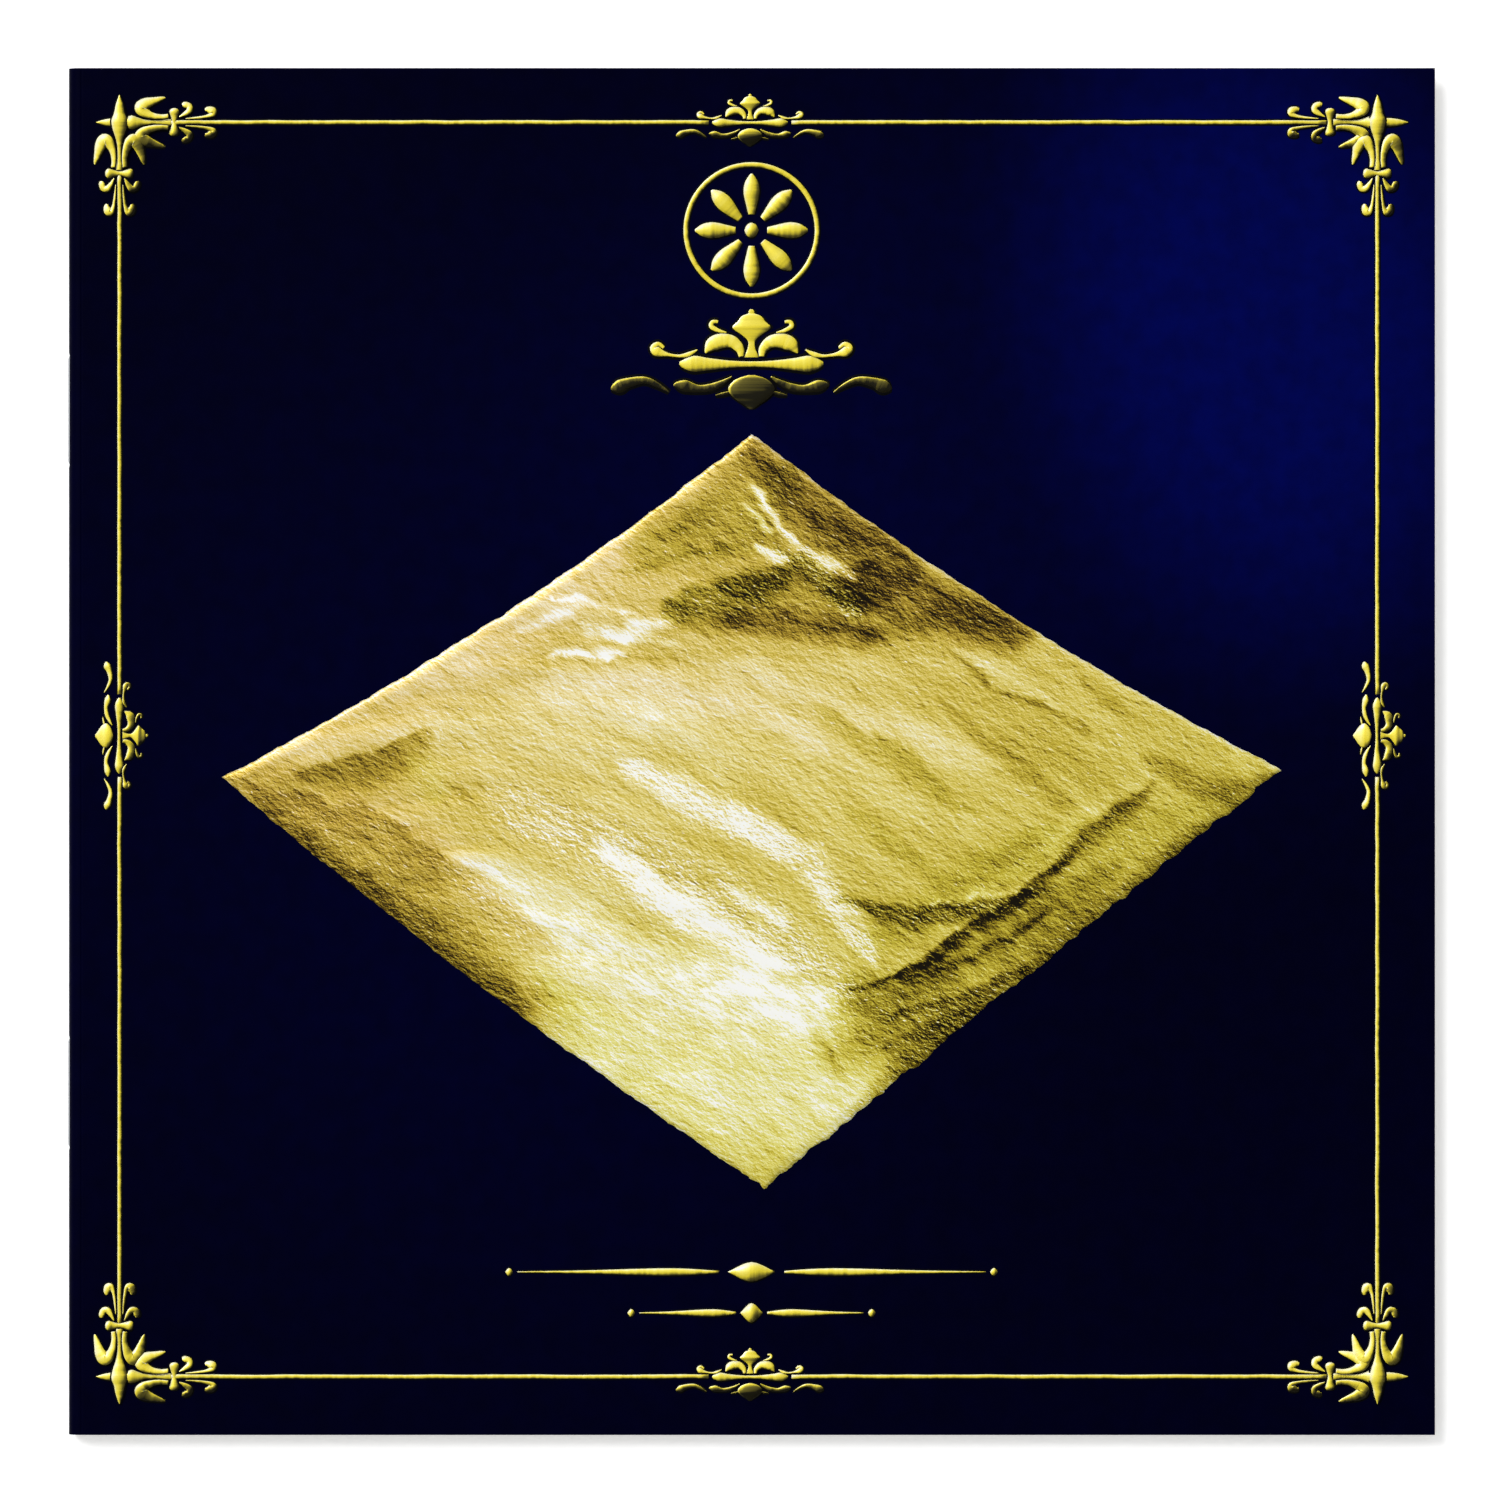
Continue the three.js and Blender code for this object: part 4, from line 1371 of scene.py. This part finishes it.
class BOOKLET_OT_border_lines(bpy.types.Operator):
    """Builds the eight lengths of the gold border line, from each corner to the middle of each side"""

    bl_idname = "booklet.border_lines"
    bl_label = "Border lines"

    def execute(self, context):
        look = context.scene.ornament_look
        for side, line in (("head", BORDER_TOP), ("tail", BORDER_BOTTOM)):
            for end, corner in (("left", BORDER_LEFT), ("right", BORDER_RIGHT)):
                self.lay_line(f"border_line_{side}_{end}", look, corner, SIDE_MIDDLE_X, line, False)
        for side, line in (("left", BORDER_LEFT), ("right", BORDER_RIGHT)):
            for end, corner in (("head", BORDER_TOP), ("tail", BORDER_BOTTOM)):
                self.lay_line(f"border_line_{side}_{end}", look, corner, SIDE_MIDDLE_Y, line, True)
        return {"FINISHED"}

    def lay_line(self, name, look, corner, middle, line, upright):
        """One length of line, very slightly uneven, between a corner's collar and a side ornament."""
        inward = 1 if middle > corner else -1
        start = corner + inward * CORNER_REACH
        end = middle - inward * SIDE_ORNAMENT_GAP
        half = look.line_width / MM / 2
        run = []
        for along in spread(start, end, LINE_STEPS):
            sway = streak(along, line, *LINE_SWAY)
            swell = streak(along, line, *LINE_SWELL)
            run.append(Vector((along, line + sway, half * (1 + swell))))

        def place(along, across):
            return (across, along) if upright else (along, across)

        def flat(local):
            return 0.0

        skin = Skin()
        raise_foil(skin, run, place, look, lambda local: look.tone, look.swell, flat, flat)
        finish_relief(name, skin, look, reaches_fold=upright and line == BORDER_LEFT)


class BOOKLET_OT_corner_ornaments(bpy.types.Operator):
    """Builds the four corner ornaments, which mirror each other"""

    bl_idname = "booklet.corner_ornaments"
    bl_label = "Corner ornaments"

    def execute(self, context):
        look = context.scene.ornament_look
        strokes = [
            CORNER_LONG_CURL, mirrored(CORNER_LONG_CURL), CORNER_SHORT_CURL, mirrored(CORNER_SHORT_CURL),
            CORNER_COLLAR,
        ]
        petals = [CORNER_PETAL, mirrored(CORNER_PETAL)]
        for line_name, line_y, down in (("head", BORDER_TOP, -1), ("tail", BORDER_BOTTOM, 1)):
            for side_name, line_x, inward in (("left", BORDER_LEFT, 1), ("right", BORDER_RIGHT, -1)):
                def level(across, along, x=line_x, y=line_y, right=inward, up=down):
                    return (x + right * along + CORNER_ARM_SHIFT, y + up * across)

                def upright(across, along, x=line_x, y=line_y, right=inward, up=down):
                    return (x + right * across, y + up * along)

                skin = Skin()
                raise_ornament(skin, [*strokes, CORNER_CROSS_BUD], level, look, side_axis=0)
                raise_ornament(skin, petals, level, look, side_axis=0, fade=CORNER_PETAL_FADE)
                raise_ornament(
                    skin, petals, upright, look, lift=CORNER_ARM_LIFT, side_axis=0, fade=CORNER_PETAL_FADE,
                )
                raise_ornament(skin, strokes, upright, look, lift=CORNER_ARM_LIFT, side_axis=0)
                raise_ornament(skin, [CORNER_BUD], upright, look, lift=CORNER_BUD_LIFT, side_axis=0)
                name = f"corner_ornament_{line_name}_{side_name}"
                finish_relief(name, skin, look, reaches_fold=side_name == "left")
        return {"FINISHED"}


def raise_side_ornament(skin, place, look):
    """A bar with a bud above it, a drop below it and wings on both sides; bud and drop are flatter."""
    strokes = [*SIDE_WINGS, *(mirrored(wing) for wing in SIDE_WINGS), SIDE_BAR]
    raise_ornament(skin, strokes, place, look, side_axis=1)
    raise_ornament(skin, [SIDE_DROP, SIDE_BUD], place, look, side_axis=1, height=SIDE_BUD_HEIGHT)


class BOOKLET_OT_side_ornaments(bpy.types.Operator):
    """Builds the four ornaments half-way along the border's sides"""

    bl_idname = "booklet.side_ornaments"
    bl_label = "Side ornaments"

    def execute(self, context):
        look = context.scene.ornament_look
        for name, line in (("head", BORDER_TOP), ("tail", BORDER_BOTTOM)):
            skin = Skin()
            raise_side_ornament(skin, about((SIDE_MIDDLE_X, line)), look)
            finish_relief("side_ornament_" + name, skin, look, reaches_fold=False)
        for name, line in (("left", BORDER_LEFT), ("right", BORDER_RIGHT)):
            def place(along, out, x=line):
                return (x + out, SIDE_MIDDLE_Y - along)

            skin = Skin()
            raise_side_ornament(skin, place, look)
            finish_relief("side_ornament_" + name, skin, look, reaches_fold=name == "left")
        return {"FINISHED"}


def run_share(x, y, points, left, right):
    """How fully each place lies under a run of points: a lens along it, full on it, soft at its reach."""
    legs = list(zip(points, points[1:]))
    total = sum(math.dist(*leg) for leg in legs)
    share, done = np.zeros_like(x), 0.0
    for (x0, y0), (x1, y1) in legs:
        length = math.hypot(x1 - x0, y1 - y0)
        ahead_x, ahead_y = (x1 - x0) / length, (y1 - y0) / length
        along = np.clip((x - x0) * ahead_x + (y - y0) * ahead_y, 0, length)
        off_x, off_y = x - x0 - along * ahead_x, y - y0 - along * ahead_y
        gone = (done + along) / total
        lens = np.sqrt(np.clip(4 * gone * (1 - gone), SHADE_TIP, 1.0))
        reach = np.where(ahead_x * off_y > ahead_y * off_x, left, right) * lens
        inside = np.clip(1 - (np.hypot(off_x, off_y) / reach) ** 2, 0, 1)
        share = np.maximum(share, inside ** 2 * np.minimum(1.0, SHADE_FULL * lens))
        done += length
    return share


def flat_drift(place, drifts):
    """A step on the flat that wanders from place to place, from two unlike slices of noise."""
    step = Vector((0, 0, 0))
    for size, per_millimetre in drifts:
        seat = place * per_millimetre
        step += size * Vector((noise.noise(seat + DRIFT_X_SLICE), noise.noise(seat + DRIFT_Y_SLICE), 0))
    return step


def long_folds(x, y):
    """Height of the folds that sweep round a far point below the spine side of the picture."""
    from_x, from_y = x - FOLDS_MIDDLE[0], y - FOLDS_MIDDLE[1]
    off, round_by = math.hypot(from_x, from_y), math.atan2(from_y, from_x)
    return sum(streak(off, round_by, *swell) for swell in FOLD_SWELLS)


class BOOKLET_OT_leaf_picture(bpy.types.Operator):
    """Builds the lozenge of crinkled leaf in the middle of the cover"""

    bl_idname = "booklet.leaf_picture"
    bl_label = "Leaf picture"

    def execute(self, context):
        look = context.scene.picture_look
        steps = spread(0.0, 1.0, look.cells)
        rows, places = [], []
        for u in reversed(steps):
            row, row_places = [], []
            for v in steps:
                x, y = self.picture_place(u, v)
                height = COVER_TOP + self.crinkle_height(look, x, y, u, v)
                row.append((COVER_MIDDLE + x * MM, y * MM, height))
                row_places.append((x, y))
            rows.append(row)
            places.append(row_places)
        skin = Skin()
        skin.grid(rows, places)
        piece = make_piece("leaf_picture", skin, leaf_picture_finish(look))
        self.shade(piece.data, skin.places, steps)
        thicken(piece, PICTURE_THICKNESS)
        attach(piece, "front_cover")
        return {"FINISHED"}

    def picture_place(self, u, v):
        """A place on the lozenge from its two shares, with an edge that is a little uneven."""
        corners = (PICTURE_LEFT, PICTURE_TOP, PICTURE_RIGHT, PICTURE_BOTTOM)
        left, top, right, bottom = map(Vector, corners)
        place = (1 - u) * (1 - v) * left + u * (1 - v) * top + u * v * right + (1 - u) * v * bottom
        place += 4 * u * (1 - u) * (1 - v) * Vector(BOW_UPPER_LEFT)
        place += 4 * v * (1 - v) * (u * Vector(BOW_UPPER_RIGHT) + (1 - u) * Vector(BOW_LOWER_LEFT))
        edge = max(0.0, 1 - min(u, v, 1 - u, 1 - v) / UNEVEN_RIM)
        torn = 1 + TORN_SIDE * smooth_step(v, 1.0 - UNEVEN_RIM, 1.0)
        return place + edge * torn * flat_drift(place.to_3d(), RIM_DRIFTS).to_2d()

    def crinkle_height(self, look, x, y, u, v):
        """Height of the crinkled sheet over the card: long folds, and a rim that lies flat."""
        rim = smooth_step(min(u, v, 1 - u, 1 - v), 0.0, FLAT_RIM)
        return PICTURE_SEAT + look.crinkle * rim * (FOLD_LEVEL + long_folds(x, y))

    def shade(self, mesh, places, steps):
        """Keeps the light, sparkle and lemon colour of each point in the mesh."""
        grain_side = Vector((math.sin(GRAIN_TURN), math.cos(GRAIN_TURN), 0))
        drifts, mottles = [], []
        for place in places:
            seat = Vector((*place, 0))
            across = seat.dot(grain_side)
            along = seat.x * grain_side.y - seat.y * grain_side.x
            rag = streak(along, across, *SHADE_RAG)
            drifts.append(flat_drift(seat, SHADE_DRIFTS) + rag * grain_side)
            mottle = sum(streak(along, across, *swell) for swell in SHADE_MOTTLES)
            mottles.append(min(MOST_MOTTLE, max(LEAST_MOTTLE, 1.0 + MOTTLE_GAIN * mottle)))
        mottle = np.array(mottles)
        x, y = (np.array(places) + np.array(drifts)[:, :2]).T
        light = PLAIN_LIGHT + FOLD_LIGHT * np.array([long_folds(*place) for place in zip(x, y)])
        sparkle = np.full_like(x, PLAIN_SPARKLE)
        lemon = x / LEMON_ACROSS - y / LEMON_DOWN
        for points, left, right, *gains in PICTURE_SHADES:
            share = run_share(x, y, points, left, right) * mottle
            for layer, gain in zip((light, sparkle, lemon), gains):
                layer += gain * share
        from_right, from_left = np.meshgrid(steps, steps, indexing="ij")
        rim = BRIGHT_RIM / math.dist(PICTURE_LEFT, PICTURE_TOP)
        light += UPPER_LEFT_RIM_LIGHT * np.clip(1 - from_left / rim, 0, 1).ravel()
        light += UPPER_RIGHT_RIM_LIGHT * np.clip(1 - from_right / rim, 0, 1).ravel()
        shades = np.column_stack((light, np.maximum(sparkle, LEAST_SPARKLE), lemon)).astype(np.float32)
        mesh.attributes.new(SHADE, "FLOAT_VECTOR", "POINT").data.foreach_set("vector", shades.ravel())


class BOOKLET_OT_cover_devices(bpy.types.Operator):
    """Builds the plain rosette, the flourish and the two swelled rules on the cover"""

    bl_idname = "booklet.cover_devices"
    bl_label = "Cover devices"

    def execute(self, context):
        look = context.scene.ornament_look
        self.rosette(look)
        self.flourish(look)
        self.swelled_rule("upper_rule", look, UPPER_RULE_MIDDLE, UPPER_RULE_WIDTH)
        self.swelled_rule("lower_rule", look, LOWER_RULE_MIDDLE, LOWER_RULE_WIDTH)
        return {"FINISHED"}

    def rosette(self, look):
        """Petals round a boss, inside a ring."""
        skin = Skin()
        outer = ROSETTE_RADIUS
        stroke = [tuple(share * outer for share in point) for point in ROSETTE_PETAL]
        for number in range(ROSETTE_PETALS):
            turn = 2 * math.pi * number / ROSETTE_PETALS

            def turned(across, along, c=math.cos(turn), s=math.sin(turn)):
                x, y = ROSETTE_MIDDLE
                return (x + c * across - s * along, y + s * across + c * along)

            raise_ornament(skin, [stroke], turned, look)
        turns = spread(0, 2 * math.pi, ROSETTE_RING_STEPS)
        ring = [(math.cos(turn) * outer, math.sin(turn) * outer, ROSETTE_RING_HALF) for turn in turns]
        boss = [(share * outer, 0, half) for share, half in ROSETTE_BOSS]
        raise_ornament(skin, [ring, boss], about(ROSETTE_MIDDLE), look)
        finish_relief("cover_rosette", skin, look, reaches_fold=False)

    def flourish(self, look):
        """The side ornament once more, large, without its border line."""
        skin = Skin()
        raise_side_ornament(skin, about(FLOURISH_MIDDLE, FLOURISH_SCALE), look)
        finish_relief("cover_flourish", skin, look, reaches_fold=False)

    def swelled_rule(self, name, look, middle, width):
        """A rule that swells towards a lozenge in its middle, with a bead at each end."""
        half = width / 2
        rule = [(share * half, 0, thick) for share, thick in SWELLED_RULE]
        bead = [(half + past, 0, thick) for past, thick in RULE_BEAD]
        lozenge = [(share * half, 0, thick) for share, thick in RULE_LOZENGE]
        skin = Skin()
        strokes = [rule, mirrored(rule), bead, mirrored(bead), lozenge]
        raise_ornament(skin, strokes, about(middle), look)
        finish_relief("cover_" + name, skin, look, reaches_fold=False)


class BOOKLET_OT_stage(bpy.types.Operator):
    """Sets the floor, the lamp, the studio light and the camera"""

    bl_idname = "booklet.stage"
    bl_label = "Stage"

    def execute(self, context):
        look = context.scene.stage_look
        self.floor(look)
        self.key_lamp(context, look)
        self.studio_light(context)
        self.camera(context)
        context.scene.view_settings.view_transform = "Standard"
        return {"FINISHED"}

    def floor(self, look):
        ways = ((-1, -1), (1, -1), (1, 1), (-1, 1))
        corners = [(x * FLOOR_HALF, y * FLOOR_HALF, -FLOOR_DROP) for x, y in ways]
        mesh = bpy.data.meshes.new("floor")
        mesh.from_pydata(corners, [], [(0, 1, 2, 3)])
        mesh.materials.append(self.floor_finish(look))
        floor = bpy.data.objects.new("floor", mesh)
        bpy.context.scene.collection.objects.link(floor)
        floor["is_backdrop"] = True

    def floor_finish(self, look):
        """White floor: what the lamps leave short of white is filled in, and the shadow stays."""
        material, tree, shader = new_finish("floor", roughness=0.9, specular_ior_level=0.1)
        shader.inputs["Base Color"].default_value = (*look.floor_colour, 1)
        path = add(tree, "ShaderNodeLightPath")
        seen = combine(tree, "MAXIMUM", path.outputs["Is Camera Ray"], path.outputs["Is Glossy Ray"])
        seen = combine(tree, "MAXIMUM", seen, path.outputs["Is Transmission Ray"])
        fill = combine(tree, "MULTIPLY", seen, FLOOR_FILL)
        shader.inputs["Emission Color"].default_value = (1, 1, 1, 1)
        tree.links.new(fill, shader.inputs["Emission Strength"])
        return material

    def key_lamp(self, context, look):
        lamp = bpy.data.lights.new("key lamp", "SUN")
        lamp.energy = look.key_strength
        lamp.angle = look.key_spread
        holder = bpy.data.objects.new("key lamp", lamp)
        holder.rotation_euler = KEY_DIRECTION.to_track_quat("Z", "Y").to_euler()
        context.scene.collection.objects.link(holder)

    def studio_light(self, context):
        """Soft room: light by the key lamp, dim on the far side, and white along the floor's end."""
        world = bpy.data.worlds.new("studio light")
        world.use_nodes = True
        tree = world.node_tree
        direction = add(tree, "ShaderNodeTexCoord").outputs["Generated"]
        ways = {0: direction, 1: KEY_DIRECTION}
        facing = add(tree, "ShaderNodeVectorMath", ways, operation="DOT_PRODUCT").outputs["Value"]
        share = remap(tree, facing, *ROOM_TURN, 0.0, 1.0)
        room = graded(tree, share, [(position, (level,) * 3) for position, level in ROOM_LEVELS])
        height = add(tree, "ShaderNodeSeparateXYZ", {0: direction}).outputs["Z"]
        low = remap(tree, height, *WHITE_BELOW, 1.0, 0.0, smooth=True)
        tree.links.new(blended(tree, low, room, (1, 1, 1)), tree.nodes["Background"].inputs["Color"])
        context.scene.world = world

    def camera(self, context):
        data = bpy.data.cameras.new("camera")
        data.sensor_width = SENSOR
        data.lens = LENS
        distance = VIEW_WIDTH * LENS / SENSOR
        data.clip_start, data.clip_end = NEAREST, FARTHEST
        camera = bpy.data.objects.new("camera", data)
        camera.location = (COVER_MIDDLE + VIEW_SHIFT[0], VIEW_SHIFT[1], COVER_TOP + distance)
        context.scene.collection.objects.link(camera)
        context.scene.camera = camera


OPERATORS = [
    BOOKLET_OT_front_cover,
    BOOKLET_OT_back_card,
    BOOKLET_OT_tissue_folds,
    BOOKLET_OT_tissue_pages,
    BOOKLET_OT_gold_leaves,
    BOOKLET_OT_staples,
    BOOKLET_OT_border_lines,
    BOOKLET_OT_corner_ornaments,
    BOOKLET_OT_side_ornaments,
    BOOKLET_OT_leaf_picture,
    BOOKLET_OT_cover_devices,
    BOOKLET_OT_stage,
]


class BOOKLET_PT_panel(bpy.types.Panel):
    """Lists the booklet's pieces and the values that set their looks"""

    bl_idname = "BOOKLET_PT_panel"
    bl_label = "Gold leaf booklet"
    bl_space_type = "VIEW_3D"
    bl_region_type = "UI"
    bl_category = "Booklet"

    def draw(self, context):
        for operator in OPERATORS:
            self.layout.operator(operator.bl_idname)
        for name, group in LOOKS.items():
            box = self.layout.box()
            box.label(text=group.__doc__)
            for value in group.__annotations__:
                box.prop(getattr(context.scene, name), value)


CLASSES = [*LOOKS.values(), *OPERATORS, BOOKLET_PT_panel]


def register():
    for made in CLASSES:
        bpy.utils.register_class(made)
    for name, group in LOOKS.items():
        setattr(bpy.types.Scene, name, PointerProperty(type=group))


def unregister():
    for name in LOOKS:
        delattr(bpy.types.Scene, name)
    for made in reversed(CLASSES):
        bpy.utils.unregister_class(made)


def main():
    register()
    for operator in OPERATORS:
        group, name = operator.bl_idname.split(".")
        getattr(getattr(bpy.ops, group), name)()
    bpy.context.view_layer.update()
    boxes = {"cad": CAD_BOX, "visual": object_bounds()}
    {name: [list(corner) for corner in box] for name, box in boxes.items()}


if __name__ == "__main__":
    main()
